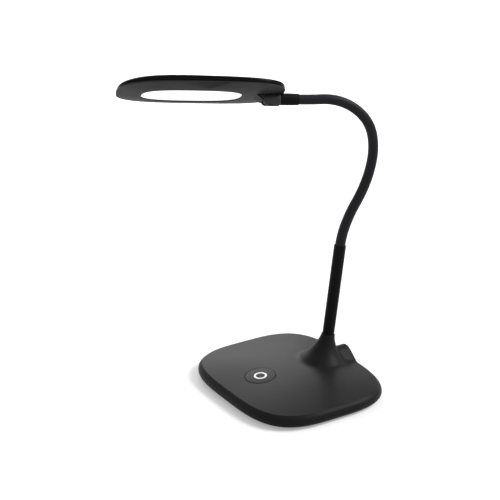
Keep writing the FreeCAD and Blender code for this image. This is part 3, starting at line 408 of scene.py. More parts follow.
def pattern_group(pattern: Pattern) -> bpy.types.NodeTree:
    """Return the node group of a pattern, made once.

    Args:
        pattern: How the fine pattern runs.

    Returns:
        A group with Colour, Roughness and Height outputs.
    """
    name = f"surface_{pattern.value}"
    known = bpy.data.node_groups.get(name)
    if known is not None:
        return known
    group = bpy.data.node_groups.new(name, "ShaderNodeTree")
    for socket, kind, default in (
        ("Colour", "NodeSocketColor", (0.5, 0.5, 0.5, 1)),
        ("Second", "NodeSocketColor", (0.4, 0.4, 0.4, 1)),
        ("Roughness", "NodeSocketFloat", 0.5),
        ("Spread", "NodeSocketFloat", 0.05),
        ("Scale", "NodeSocketFloat", 1000.0),
    ):
        made = group.interface.new_socket(socket, in_out="INPUT", socket_type=kind)
        made.default_value = default
    group.interface.new_socket("Colour", in_out="OUTPUT", socket_type="NodeSocketColor")
    for socket in ("Roughness", "Height"):
        group.interface.new_socket(socket, in_out="OUTPUT", socket_type="NodeSocketFloat")
    nodes, links = group.nodes, group.links
    given = nodes.new("NodeGroupInput")
    result = nodes.new("NodeGroupOutput")
    place = nodes.new("ShaderNodeTexCoord")
    fine = FINE_PATTERNS[pattern](nodes, links, place.outputs["Object"], given.outputs["Scale"])
    broad = nodes.new("ShaderNodeTexNoise")
    broad.inputs["Scale"].default_value = BROAD_SCALE
    broad.inputs["Detail"].default_value = BROAD_DETAIL
    links.new(place.outputs["Object"], broad.inputs["Vector"])
    both = nodes.new("ShaderNodeMath")
    both.operation = "MULTIPLY_ADD"
    both.inputs[1].default_value = 0.5
    half = nodes.new("ShaderNodeMath")
    half.operation = "MULTIPLY"
    half.inputs[1].default_value = 0.5
    links.new(broad.outputs["Fac"], half.inputs[0])
    links.new(fine, both.inputs[0])
    links.new(half.outputs[0], both.inputs[2])
    tint = nodes.new("ShaderNodeMix")
    tint.data_type = "RGBA"
    links.new(both.outputs[0], tint.inputs["Factor"])
    links.new(given.outputs["Colour"], tint.inputs["A"])
    links.new(given.outputs["Second"], tint.inputs["B"])
    drift = nodes.new("ShaderNodeMapRange")
    drift.inputs["To Min"].default_value = -1.0
    links.new(both.outputs[0], drift.inputs["Value"])
    rough = nodes.new("ShaderNodeMath")
    rough.operation = "MULTIPLY_ADD"
    links.new(drift.outputs["Result"], rough.inputs[0])
    links.new(given.outputs["Spread"], rough.inputs[1])
    links.new(given.outputs["Roughness"], rough.inputs[2])
    links.new(tint.outputs["Result"], result.inputs["Colour"])
    links.new(rough.outputs[0], result.inputs["Roughness"])
    links.new(fine, result.inputs["Height"])
    return group


def grain(nodes: Nodes, links: Links, place: Socket, scale: Socket) -> Socket:
    """Draw an even moulded grain.

    Args:
        nodes: The group's nodes.
        links: The group's links.
        place: The place to draw at.
        scale: Features per metre.

    Returns:
        Its value.
    """
    noise = nodes.new("ShaderNodeTexNoise")
    noise.inputs["Detail"].default_value = 2.0
    links.new(place, noise.inputs["Vector"])
    links.new(scale, noise.inputs["Scale"])
    return noise.outputs["Fac"]


def brushed(nodes: Nodes, links: Links, place: Socket, scale: Socket) -> Socket:
    """Draw fine lines along one way.

    Args:
        nodes: The group's nodes.
        links: The group's links.
        place: The place to draw at.
        scale: Features per metre.

    Returns:
        Their value.
    """
    stretch = nodes.new("ShaderNodeVectorMath")
    stretch.operation = "MULTIPLY"
    stretch.inputs[1].default_value = (1.0, 0.06, 1.0)
    links.new(place, stretch.inputs[0])
    return grain(nodes, links, stretch.outputs[0], scale)


def weave(nodes: Nodes, links: Links, place: Socket, scale: Socket) -> Socket:
    """Draw close cells, as on soft sleeving.

    Args:
        nodes: The group's nodes.
        links: The group's links.
        place: The place to draw at.
        scale: Features per metre.

    Returns:
        Their value.
    """
    cells = nodes.new("ShaderNodeTexVoronoi")
    links.new(place, cells.inputs["Vector"])
    links.new(scale, cells.inputs["Scale"])
    return cells.outputs["Distance"]


def tracks(nodes: Nodes, links: Links, place: Socket, scale: Socket) -> Socket:
    """Draw square copper tracks under a board's solder mask.

    Args:
        nodes: The group's nodes.
        links: The group's links.
        place: The place to draw at.
        scale: Features per metre.

    Returns:
        Their value.
    """
    bricks = nodes.new("ShaderNodeTexBrick")
    bricks.inputs["Mortar Size"].default_value = 0.06
    bricks.inputs["Color1"].default_value = (0.2, 0.2, 0.2, 1)
    bricks.inputs["Color2"].default_value = (0.5, 0.5, 0.5, 1)
    links.new(place, bricks.inputs["Vector"])
    links.new(scale, bricks.inputs["Scale"])
    return bricks.outputs["Fac"]


FINE_PATTERNS: dict[Pattern, Callable[..., Socket]] = {
    Pattern.GRAIN: grain,
    Pattern.BRUSHED: brushed,
    Pattern.WEAVE: weave,
    Pattern.TRACKS: tracks,
}


BASE_PLASTIC = Finish(
    "base_plastic", (0.008, 0.0076, 0.0084), (0.0105, 0.010, 0.011),
    0.44, 0.03, 2600, 0.000012, specular=0.08,
)
BUTTON_PLASTIC = Finish(
    "button_plastic", (0.008, 0.0076, 0.0084), (0.0105, 0.010, 0.011),
    0.44, 0.03, 2600, 0.00001, specular=0.08,
)
RING_WHITE = Finish("ring_white", (0.75, 0.75, 0.76), (0.82, 0.82, 0.82), 0.4, 0.03, 900, 0.000005)
SLEEVE_PLASTIC = Finish(
    "sleeve_plastic", (0.004, 0.004, 0.0046), (0.0055, 0.0055, 0.006),
    0.5, 0.04, 2200, 0.00001, specular=0.06,
)
SHEATH_RUBBER = Finish(
    "sheath_rubber", (0.0065, 0.0063, 0.0082), (0.0085, 0.0083, 0.0105),
    0.5, 0.05, 1800, 0.00001, specular=0.15, pattern=Pattern.WEAVE,
)
KNUCKLE_PLASTIC = Finish(
    "knuckle_plastic", (0.014, 0.0135, 0.015), (0.018, 0.0175, 0.019),
    0.45, 0.04, 2200, 0.00001, specular=0.3,
)
HEAD_GLOSS = Finish(
    "head_gloss", (0.002, 0.002, 0.0022), (0.003, 0.003, 0.0032),
    0.2, 0.03, 300, 0.000002, specular=0.05,
)
HEAD_MATTE = Finish(
    "head_matte", (0.018, 0.0175, 0.0185), (0.022, 0.0215, 0.0225),
    0.6, 0.04, 2600, 0.000012, specular=0.15,
)
# Painted light: the diffuser plate glows to stand in for light falling on it, so the white plate reads full
# white.
DIFFUSER_WHITE_PAINTED_GLOW = Finish(
    "diffuser_white", (0.86, 0.86, 0.87), (0.9, 0.9, 0.9),
    0.5, 0.05, 1600, 0.000004, glow=0.75,
)
STEEL = Finish(
    "plated_steel", (0.55, 0.55, 0.56), (0.48, 0.48, 0.5),
    0.32, 0.08, 1200, 0.000004, metallic=1.0, pattern=Pattern.BRUSHED,
)
BALLAST = Finish(
    "ballast_steel", (0.32, 0.31, 0.3), (0.25, 0.24, 0.24),
    0.5, 0.1, 500, 0.00001, metallic=1.0, pattern=Pattern.BRUSHED,
)
RUBBER = Finish("foot_rubber", (0.02, 0.02, 0.02), (0.03, 0.03, 0.03), 0.8, 0.06, 1400, 0.00002)
PLATE = Finish("plate_plastic", (0.02, 0.02, 0.021), (0.025, 0.025, 0.026), 0.6, 0.05, 1500, 0.00002)
BOARD_GREEN = Finish(
    "board_green", (0.02, 0.12, 0.05), (0.03, 0.2, 0.09),
    0.35, 0.05, 300, 0.00001, pattern=Pattern.TRACKS,
)
BOARD_WHITE = Finish(
    "board_white", (0.7, 0.7, 0.7), (0.78, 0.78, 0.78),
    0.4, 0.05, 200, 0.00001, pattern=Pattern.TRACKS,
)
CHIP_BLACK = Finish("component_black", (0.02, 0.02, 0.02), (0.03, 0.03, 0.03), 0.45, 0.06, 2000, 0.00001)
FERRITE = Finish("coil_ferrite", (0.06, 0.06, 0.06), (0.09, 0.085, 0.08), 0.6, 0.06, 1600, 0.00001)
CAN = Finish(
    "capacitor_can", (0.6, 0.6, 0.62), (0.66, 0.66, 0.68),
    0.3, 0.05, 900, 0.000004, metallic=1.0, pattern=Pattern.BRUSHED,
)
PLUNGER_RED = Finish("plunger_red", (0.4, 0.03, 0.02), (0.46, 0.05, 0.03), 0.45, 0.05, 1500, 0.00001)
CONNECTOR_WHITE = Finish("connector_white", (0.7, 0.7, 0.66), (0.76, 0.76, 0.72), 0.5, 0.05, 1500, 0.00001)
BRASS = Finish(
    "pin_brass", (0.62, 0.55, 0.4), (0.55, 0.48, 0.34),
    0.28, 0.06, 1200, 0.000004, metallic=1.0, pattern=Pattern.BRUSHED,
)
LEAD_BLACK = Finish("lead_black", (0.015, 0.015, 0.015), (0.022, 0.022, 0.022), 0.55, 0.05, 1500, 0.00001)
TRAY_WHITE = Finish("tray_white", (0.75, 0.75, 0.75), (0.8, 0.8, 0.8), 0.55, 0.05, 1500, 0.00001)
LED_YELLOW = Finish("led_yellow", (0.75, 0.6, 0.12), (0.8, 0.68, 0.2), 0.35, 0.05, 900, 0.00001)

SLOT_FINISHES = {
    "base_plastic": BASE_PLASTIC, "plate_plastic": PLATE, "ballast_steel": BALLAST, "screw_steel": STEEL,
    "foot_rubber": RUBBER, "board_green": BOARD_GREEN, "component_black": CHIP_BLACK, "coil_ferrite": FERRITE,
    "capacitor_can": CAN, "plunger_red": PLUNGER_RED, "connector_white": CONNECTOR_WHITE, "pin_brass": BRASS,
    "lead_black": LEAD_BLACK, "ring_white": RING_WHITE, "sleeve_plastic": SLEEVE_PLASTIC,
    "knuckle_plastic": KNUCKLE_PLASTIC, "sheath_rubber": SHEATH_RUBBER, "core_steel": STEEL,
    "head_gloss": HEAD_GLOSS, "head_matte": HEAD_MATTE, "diffuser_white": DIFFUSER_WHITE_PAINTED_GLOW,
    "tray_white": TRAY_WHITE, "board_white": BOARD_WHITE, "led_yellow": LED_YELLOW,
}


def report(piece: bpy.types.Object) -> None:
    """Log a finished piece and its size."""
    log.info("%s: %d vertices, %d faces", piece.name, len(piece.data.vertices), len(piece.data.polygons))


@dataclass(frozen=True)
class Stem:
    """The straight stem that rises from the base, in millimetres."""

    lean: float = 7.4
    root: tuple[float, float, float] = (0.0, 59.3, 138.0)

    def axes(self) -> Axes:
        """Return axes at the top of the lower sleeve, local Z up the sleeve."""
        lean = math.radians(self.lean)
        return Axes(Vector(self.root), Vector((1, 0, 0)), Vector((0, math.cos(lean), -math.sin(lean))))

    def along(self, z: float) -> float:
        """Return the distance along the stem, from its top, of the height z."""
        return (z - self.root[2]) / math.cos(math.radians(self.lean))


@dataclass(frozen=True)
class BaseShell:
    """The base's moulded cover, in millimetres."""

    half_x: float = 89.0
    half_y: float = 75.0
    exponent: float = 3.44
    crown: float = 21.0
    drop: float = 7.5
    rim_z: float = 7.2
    rim_round: float = 5.0
    rim_rise: float = 6.6
    undercut: float = 5.4
    bottom: float = 1.8
    wall: float = 2.2
    cavity_inset: float = 7.0
    collar_z: float = 45.0
    collar_radius: float = 6.75
    flare_z: float = 17.0
    flare_radius: float = 30.0
    flare_exponent: float = 0.68
    flare_shift: float = 3.1
    flare_fade: float = 10.0
    hump_top: float = 28.0
    hump_half_width: float = 18.0
    hump_level_y: float = 68.0
    hump_start_y: float = 46.0
    inlet_z: float = 16.0
    inlet_radius: float = 4.2
    jack_face_y: float = 71.5
    spokes: int = 320
    rings: int = 84
    socket_bore: float = 6.05
    socket_depth: float = 16.0
    collar_lip: float = 0.15
    collar_crown: float = 0.08
    collar_drop: float = 0.1
    edge_angle: float = 75.0
    cavity_shoulder: float = 1.5
    cavity_top_rise: float = 4.0
    stem: Stem = Stem()

    def share(self, x: float, y: float) -> float:
        """Return how far out a point is, 1 on the full outline."""
        n = self.exponent
        return (abs(x / self.half_x) ** n + abs(y / self.half_y) ** n) ** (1 / n)

    def dome(self, x: float, y: float) -> float:
        """Return the height of the plain dome."""
        return self.crown - self.drop * self.share(x, y) ** 2

    def flare(self, x: float, y: float) -> float:
        """Find the height of the dome with the flare round the stem, by halving.

        Args:
            x: Where, across the lamp.
            y: Where, from front to rear.

        Returns:
            The height.
        """
        axes = self.stem.axes()
        low, high = self.flare_z, self.collar_z
        for _ in range(26):
            mid = (low + high) / 2
            share = (mid - self.flare_z) / (self.collar_z - self.flare_z)
            spread = (1 - share**self.flare_exponent) ** (1 / self.flare_exponent)
            radius = self.collar_radius + (self.flare_radius - self.collar_radius) * spread
            centre = axes.at(0, -self.flare_shift * (1 - share) ** 0.9, self.stem.along(mid)) / MM
            tilt = (y - centre.y) * math.tan(math.radians(self.stem.lean))
            distance = math.hypot(x, (y - centre.y) / math.cos(math.radians(self.stem.lean)))
            if distance > radius:
                high = mid
            else:
                low = mid
        plain = self.dome(x, y)
        lift = smooth_max(mid - tilt - plain, 0.0, 2.0)
        fade = min(1.0, max(0.0, (self.flare_radius - distance) / self.flare_fade))
        return plain + lift * fade * fade * (3 - 2 * fade)

    def hump(self, x: float, y: float) -> float:
        """Find the height of the hump over the inlet.

        Args:
            x: Where, across the lamp.
            y: Where, from front to rear.

        Returns:
            The height, or 0 beside it.
        """
        if abs(x) >= self.hump_half_width or y < self.hump_start_y:
            return 0.0
        ridge = self.hump_top
        if y > self.hump_level_y:
            past = min(1.0, (y - self.hump_level_y) / (self.half_y - self.hump_level_y))
            ridge = self.rim_z + (self.hump_top - self.rim_z) * math.sqrt(1 - past**2)
        foot = self.rear(y) - 0.6
        bell = (1 + math.cos(math.pi * x / self.hump_half_width)) / 2
        return foot + (ridge - foot) * bell**0.8

    def rear(self, y: float) -> float:
        """Find the height of the plain top on the centre line, down the rounded rim.

        Args:
            y: Where, from front to rear.

        Returns:
            The height.
        """
        inset = self.half_y - y
        dome = self.dome(0, y)
        if inset >= self.rim_round:
            return dome
        rise = math.sqrt(max(0.0, 1 - (1 - inset / self.rim_round) ** 2))
        return min(dome, self.rim_z + self.rim_rise * rise)

    def top(self, x: float, y: float) -> float:
        """Return the height of the whole top: dome, flare and hump blended."""
        return smooth_max(self.flare(x, y), self.hump(x, y), 2.5)

    def outline_point(self, spoke: int, inset: float, centre: tuple[float, float]) -> tuple[float, float]:
        """Find where a spoke from the stem's foot meets the outline.

        Args:
            spoke: The spoke's number.
            inset: How far the outline is drawn in, evenly.
            centre: Where the spokes start.

        Returns:
            The point as (x, y).
        """
        angle = 2 * math.pi * spoke / self.spokes
        c, s = math.cos(angle), math.sin(angle)
        low, high = 0.0, 2.0 * self.half_x
        half_x, half_y, n = self.half_x - inset, self.half_y - inset, self.exponent
        for _ in range(40):
            mid = (low + high) / 2
            x, y = centre[0] + mid * c, centre[1] + mid * s
            if abs(x / half_x) ** n + abs(y / half_y) ** n > 1:
                high = mid
            else:
                low = mid
        return x, y

    def build(self) -> bpy.types.Object:
        """Make the cover, with its button hole and inlet, and return it."""
        axes = self.stem.axes()
        collar = self.stem.along(self.collar_z)
        foot = axes.at(0, 0, collar) / MM
        centre = (0.0, foot.y)
        rings: list[Ring] = []
        bore, lip = self.socket_bore, self.collar_lip
        for radius, height in (
            (bore, -self.socket_depth), (bore, 0.0), (bore + lip, self.collar_crown),
            (self.collar_radius - lip, self.collar_crown),
        ):
            rings.append(self.stem_ring(axes, radius, collar + height))
        start = [point / MM for point in self.stem_ring(axes, self.collar_radius, collar - self.collar_drop)]
        rings.append([point * MM for point in start])
        edge_inset = self.rim_round * (1 - math.cos(math.radians(self.edge_angle)))
        edge = [self.outline_point(i, edge_inset, centre) for i in range(self.spokes)]
        for ring in range(1, self.rings + 1):
            share = (ring / self.rings) ** 1.9
            points = []
            for i in range(self.spokes):
                x = start[i].x + (edge[i][0] - start[i].x) * share
                y = start[i].y + (edge[i][1] - start[i].y) * share
                points.append(Vector((x, y, min(self.top(x, y), start[i].z))) * MM)
            rings.append(points)
        for angle in (66, 57, 48, 38, 28, 18, 9, 0, -12, -24, -36, -48, -60, -72, -84):
            turn = math.radians(angle)
            inset = self.rim_round * (1 - math.cos(turn))
            rise = self.rim_rise if angle > 0 else self.undercut
            z = self.rim_z + rise * math.sin(turn)
            points = []
            for i in range(self.spokes):
                x, y = self.outline_point(i, inset, centre)
                height = smooth_max(z, self.hump(x, y), 1.0) if angle > 0 else z
                points.append(Vector((x, y, height)) * MM)
            rings.append(points)
        rings.append(self.level_ring(self.rim_round + 0.3, self.bottom, centre))
        shoulder = self.cavity_inset + self.cavity_shoulder
        for inset, z in (
            (self.cavity_inset, self.bottom), (self.cavity_inset, self.rim_z + self.cavity_shoulder),
            (shoulder, self.rim_z + self.cavity_top_rise),
        ):
            rings.append(self.level_ring(inset, z, centre))
        inner = [self.outline_point(i, shoulder, centre) for i in range(self.spokes)]
        for share in (0.9, 0.75, 0.55, 0.35):
            points = []
            for x, y in inner:
                px, py = centre[0] + (x - centre[0]) * share, centre[1] + (y - centre[1]) * share
                points.append(Vector((px, py, self.dome(px, py) - self.wall)) * MM)
            rings.append(points)
        mesh = ring_stack(rings, cap_start=True, cap_end=True)
        cover = finished(mesh, "base_cover_shell", BASE_PLASTIC.material())
        carve(cover, [PushButton().hole(), self.inlet()])
        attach(cover, "base")
        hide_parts("base_cover")
        report(cover)
        return cover

    def stem_ring(self, axes: Axes, radius: float, height: float) -> Ring:
        """Return a ring round the stem, square to it."""
        turns = [2 * math.pi * i / self.spokes for i in range(self.spokes)]
        return [axes.at(radius * math.cos(turn), radius * math.sin(turn), height) for turn in turns]

    def level_ring(self, inset: float, z: float, centre: tuple[float, float]) -> Ring:
        """Return a level ring of the outline at one inset."""
        return [Vector((*self.outline_point(i, inset, centre), z)) * MM for i in range(self.spokes)]

    def inlet(self) -> bmesh.types.BMesh:
        """Return the cutter of the inlet's round hole."""
        depth = 12.0
        axes = Axes(Vector((0, self.jack_face_y, self.inlet_z)), Vector((1, 0, 0)), Vector((0, 0, -1)))
        return lathe([(0, -0.1), (self.inlet_radius, -0.1), (self.inlet_radius, depth), (0, depth)], axes)


def smooth_max(a: float, b: float, width: float) -> float:
    """Return the larger of two heights, rounded where they are within width."""
    near = max(width - abs(a - b), 0.0) / width
    return max(a, b) + near * near * width / 4


@dataclass(frozen=True)
class PushButton:
    """The round push button and its ring, in millimetres."""

    y: float = -33.5
    radius: float = 15.3
    groove: float = 0.45
    thick: float = 3.0
    flange_radius: float = 16.9
    flange_thick: float = 1.0
    ring_outer: float = 6.5
    ring_band: float = 2.0
    ring_thick: float = 1.2

    def axes(self) -> Axes:
        """Return axes on the button's face, local Z out of it."""
        base = BaseShell()
        share = abs(self.y) / base.half_y
        slope = math.atan(2 * base.drop * share / base.half_y)
        centre = Vector((0, self.y, base.crown - base.drop * share**2))
        return Axes(centre, Vector((1, 0, 0)), Vector((0, math.cos(slope), math.sin(slope))))

    def hole(self) -> bmesh.types.BMesh:
        """Return the cutter of the button's stepped hole."""
        hole = self.radius + self.groove
        wide = self.flange_radius + 1.2
        profile = [(0, -9), (wide, -9), (wide, -2.3), (hole, -2.3), (hole, 4), (0, 4)]
        return lathe(profile, self.axes())

    def build(self) -> None:
        """Make the disc and the white ring."""
        inner = self.ring_outer - self.ring_band
        under = -self.thick - self.flange_thick
        disc = rounded([
            (0, 0, 0), (inner, 0, 0), (inner, -self.ring_thick, 0), (self.ring_outer, -self.ring_thick, 0),
            (self.ring_outer, 0, 0), (self.radius, 0, 0.5), (self.radius, -self.thick, 0),
            (self.flange_radius, -self.thick, 0), (self.flange_radius, under, 0), (0, under, 0),
        ])
        cap = finished(lathe(disc, self.axes(), 128), "button_disc", BUTTON_PLASTIC.material())
        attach(cap, "button")
        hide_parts("button_cap")
        report(cap)
        band = rounded([
            (inner, -self.ring_thick, 0), (self.ring_outer, -self.ring_thick, 0),
            (self.ring_outer, 0.0, 0.05), (inner, 0.0, 0.05),
        ])
        ring = finished(lathe(band, self.axes(), 96), "button_icon_ring", RING_WHITE.material())
        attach(ring, "button")
        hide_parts("button_ring")
        report(ring)


@dataclass(frozen=True)
class Neck:
    """The flexible neck as equal arcs in one upright plane, in millimetres."""

    bends: tuple[float, ...] = (13.0, 9.0, -9.5, -11.5, -18.5, -30.5, -24.0, -24.0, 3.5)
    length: float = 209.0
    turn_away: float = 19.7
    root_lean: float = 7.0
    lower_radius: float = 5.12
    upper_radius: float = 4.85
    wall: float = 0.5
    steps: int = 20
    stem: Stem = Stem()

    def rearward(self) -> Vector:
        """Return the level direction of the neck's plane, towards the rear."""
        turn = math.radians(self.turn_away)
        return Vector((math.sin(turn), math.cos(turn), 0))

    def across(self) -> Vector:
        """Return the normal of the neck's plane."""
        turn = math.radians(self.turn_away)
        return Vector((math.cos(turn), -math.sin(turn), 0))

    def station(self, position: float) -> tuple[Vector, Vector]:
        """Follow the neck's arcs.

        Args:
            position: The distance along the neck, counted in arcs.

        Returns:
            The point and the direction there.
        """
        arc = self.length / len(self.bends)
        lean = math.radians(self.root_lean)
        rear, up, left = 0.0, 0.0, position
        for bend in self.bends:
            share = min(left, 1.0)
            turn = math.radians(bend) * share
            chord = arc * share * math.sin(turn / 2) / (turn / 2) if turn else 0.0
            rear += chord * math.sin(lean + turn / 2)
            up += chord * math.cos(lean + turn / 2)
            lean += turn
            left -= share
            if left <= 0:
                break
        point = Vector(self.stem.root) + self.rearward() * rear + Vector((0, 0, up))
        return point, self.rearward() * math.sin(lean) + Vector((0, 0, math.cos(lean)))

    def tube_ring(self, position: float, radius: float) -> Ring:
        """Return a ring square to the neck."""
        point, direction = self.station(position)
        side = self.across()
        other = direction.cross(side)
        return [
            (point + (side * math.cos(a) + other * math.sin(a)) * radius) * MM
            for a in (2 * math.pi * i / 64 for i in range(64))
        ]

    def radius(self, position: float) -> float:
        """Return the sheath's radius at a distance along the neck."""
        return self.lower_radius + (self.upper_radius - self.lower_radius) * position / len(self.bends)

    def build(self) -> None:
        """Make one smooth tube across each joint."""
        nodes = {0: ["lower_sheath", "neck_sheath_1"], len(self.bends) - 1: ["upper_sheath"]}
        for arc in range(len(self.bends)):
            spots = [arc + step / self.steps for step in range(self.steps + 1)]
            rings = [self.tube_ring(spot, self.radius(spot)) for spot in spots]
            rings += [self.tube_ring(spot, self.radius(spot) - self.wall) for spot in reversed(spots)]
            tube = finished(ring_stack(rings, joined=True), f"neck_tube_{arc + 1}", SHEATH_RUBBER.material())
            start = self.station(arc + 0.12)[0] * MM
            end = self.station(arc + 0.88)[0] * MM
            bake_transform(tube)
            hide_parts(*nodes.get(arc, [f"neck_sheath_{arc + 1}"]))
            report(tube)

    def arm_axes(self, sleeve_length: float) -> Axes:
        """Return axes at the swivel seam, local Z back down the neck."""
        point, direction = self.station(len(self.bends))
        seam = point + direction * sleeve_length
        return Axes(seam, self.across(), self.across().cross(direction))


@dataclass(frozen=True)
class Sleeves:
    """The hard sleeves at both ends of the neck, in millimetres."""

    radius: float = 5.95
    bore: float = 5.3
    socket_z: float = 26.0
    flange: float = 1.5
    upper_length: float = 18.0
    upper_radius: float = 5.75
    upper_tip_radius: float = 5.5
    shaft_bore: float = 3.05
    seam_gap: float = 0.3
    stem: Stem = Stem()

    def build(self) -> None:
        """Make the lower and the upper sleeve."""
        bottom = self.stem.along(self.socket_z) + self.flange
        lower = rounded([
            (self.bore, bottom, 0), (self.radius, bottom, 0), (self.radius, 0, 0.45), (self.bore, 0, 0.15),
        ], 5)
        piece = finished(lathe(lower, self.stem.axes()), "lower_sleeve_tube", SLEEVE_PLASTIC.material())
        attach(piece, "base")
        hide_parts("lower_sleeve")
        report(piece)
        end = self.upper_length
        upper = rounded([
            (self.shaft_bore, self.seam_gap, 0), (self.upper_radius, self.seam_gap, 0.25),
            (self.upper_radius, end * 0.45, 0), (self.upper_tip_radius, end, 0.35), (self.bore, end, 0.1),
            (self.bore, self.seam_gap + 8.0, 0), (self.shaft_bore, self.seam_gap + 8.0, 0),
        ], 5)
        piece = finished(lathe(upper, Neck().arm_axes(end)), "upper_sleeve_tube", SLEEVE_PLASTIC.material())
        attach(piece, "neck_end")
        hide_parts("upper_sleeve")
        report(piece)


@dataclass(frozen=True)
class Head:
    """The flat LED head, measured from the middle of its parting plane, in millimetres."""

    half_length: float = 78.4
    half_width: float = 38.0
    exponent: float = 3.2
    roll: float = 30.5
    to_seam: float = 75.4
    axis_drop: float = 5.8
    side: float = 1.2
    edge: float = 3.6
    crown: float = 6.5
    taper: float = 14.0
    rise: float = 1.2
    wall: float = 2.0
    ceiling: float = 4.0
    opening_centre: float = 8.7
    opening_half_length: float = 47.2
    opening_half_width: float = 19.7
    opening_exponent: float = 2.9
    rim_depth: float = 4.5
    recess: float = 1.2
    diffuser_thick: float = 1.5
    ledge: float = 1.3
    chamfer: float = 0.25
    spokes: int = 256

    def axes(self) -> Axes:
        """Return axes in the head's middle: X to its tip, Y to its side, Z out of its top."""
        neck = Neck()
        seam = neck.arm_axes(Sleeves().upper_length).origin
        _, tip_way = neck.station(len(neck.bends))
        roll = math.radians(self.roll)
        side = neck.across() * math.cos(roll) + tip_way.cross(neck.across()) * math.sin(roll)
        top = tip_way.cross(side)
        return Axes(seam + tip_way * self.to_seam + top * self.axis_drop, tip_way, side)

    def ring(self, inset: float, z: float, taper: float = 0.0, lean: float = 0.0) -> Ring:
        """Return a ring of the head's outline.

        Args:
            inset: How far it lies inside the full outline.
            z: Its height.
            taper: How far its tip is drawn back.
            lean: How far it rises towards the tip, per millimetre.

        Returns:
            The ring, in metres.
        """
        axes = self.axes()
        half_length = self.half_length - inset - taper / 2
        points = superellipse(half_length, self.half_width - inset, self.exponent, self.spokes)
        return [axes.at(x - taper / 2, y, z + (x - taper / 2) * lean) for x, y in points]

    def crown_ring(self, inset: float, z: float) -> Ring:
        """Return a ring of the top shell, drawn back and leaning up towards the tip."""
        share = max(0.0, z - self.side) / (self.crown - self.side)
        return self.ring(inset, z, self.taper * share**2, self.rise / self.half_length * z / self.crown)

    def opening(self, margin: float, z: float) -> Ring:
        """Return a ring of the light opening's outline."""
        axes = self.axes()
        half_length, half_width = self.opening_half_length + margin, self.opening_half_width + margin
        points = superellipse(half_length, half_width, self.opening_exponent, self.spokes)
        return [axes.at(x + self.opening_centre, y, z) for x, y in points]

    def build(self) -> None:
        """Make the top shell and the diffuser."""
        top = [self.crown_ring(inset, z) for inset, z in (
            (self.wall, 0.0), (0.25, 0.0), (0.06, 0.06), (0.0, 0.25), (0.0, self.side),
            (0.02, 2.0), (0.06, 2.8), (0.12, self.edge), (0.3, 4.2), (0.55, 4.7), (0.9, 5.1),
            (1.4, 5.45), (2.2, self.edge + 2.15),
            (3.4, 5.9), (5.5, 6.1), (8.8, 6.3), (12.0, 6.43), (16.0, self.crown),
        )]
        inside = [self.ring(inset, z, taper) for inset, z, taper in (
            (self.wall + 3.6, self.ceiling, self.taper / 2), (self.wall + 1.6, self.ceiling, self.taper / 2),
            (self.wall, self.edge / 2, 0.0),
        )]
        shell = ring_stack(list(reversed(top)) + list(reversed(inside)), cap_start=True, cap_end=True)
        cap = finished(shell, "head_cap", HEAD_GLOSS.material())
        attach(cap, "head")
        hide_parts("head_top_shell")
        report(cap)
        self.build_diffuser()

    def build_diffuser(self) -> None:
        """Make the frosted plate in the opening, its glow painted light that stands in for light falling on
        it.
        """
        face = -self.rim_depth + self.recess
        rings = [
            self.opening(self.ledge - self.chamfer, face), self.opening(self.ledge, face + self.chamfer),
            self.opening(self.ledge, face + self.diffuser_thick),
        ]
        mesh = ring_stack(rings, cap_start=True, cap_end=True)
        plate = finished(mesh, "diffuser_plate", DIFFUSER_WHITE_PAINTED_GLOW.material())
        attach(plate, "head")
        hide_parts("diffuser")
        report(plate)


@dataclass(frozen=True)
class Copies:
    """CAD nodes shown as merged copies with softened edges."""

    edge: float = 0.3

    def build(self) -> None:
        """Make the copies of the knuckle and the head's underside."""
        for node, body, finish, width in (
            ("knuckle", "swivel", KNUCKLE_PLASTIC, self.edge),
            ("head_frame", "head", HEAD_MATTE, 0.0),
        ):
            piece = merged_copy(node, f"{node}_smooth", finish.material())
            if width:
                soften(piece, width)
            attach(piece, body)
            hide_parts(node)
            report(piece)


class Hardware:
    """The CAD nodes that are shown as they are."""

    def dress(self) -> None:
        """Give every node the finish of its slot."""
        for part in frame["record"]["subparts"]:
            node = frame["nodes"][part["node"]]
            material = SLOT_FINISHES[part["material_slot"]].material()
            node.data.materials.clear()
            node.data.materials.append(material)


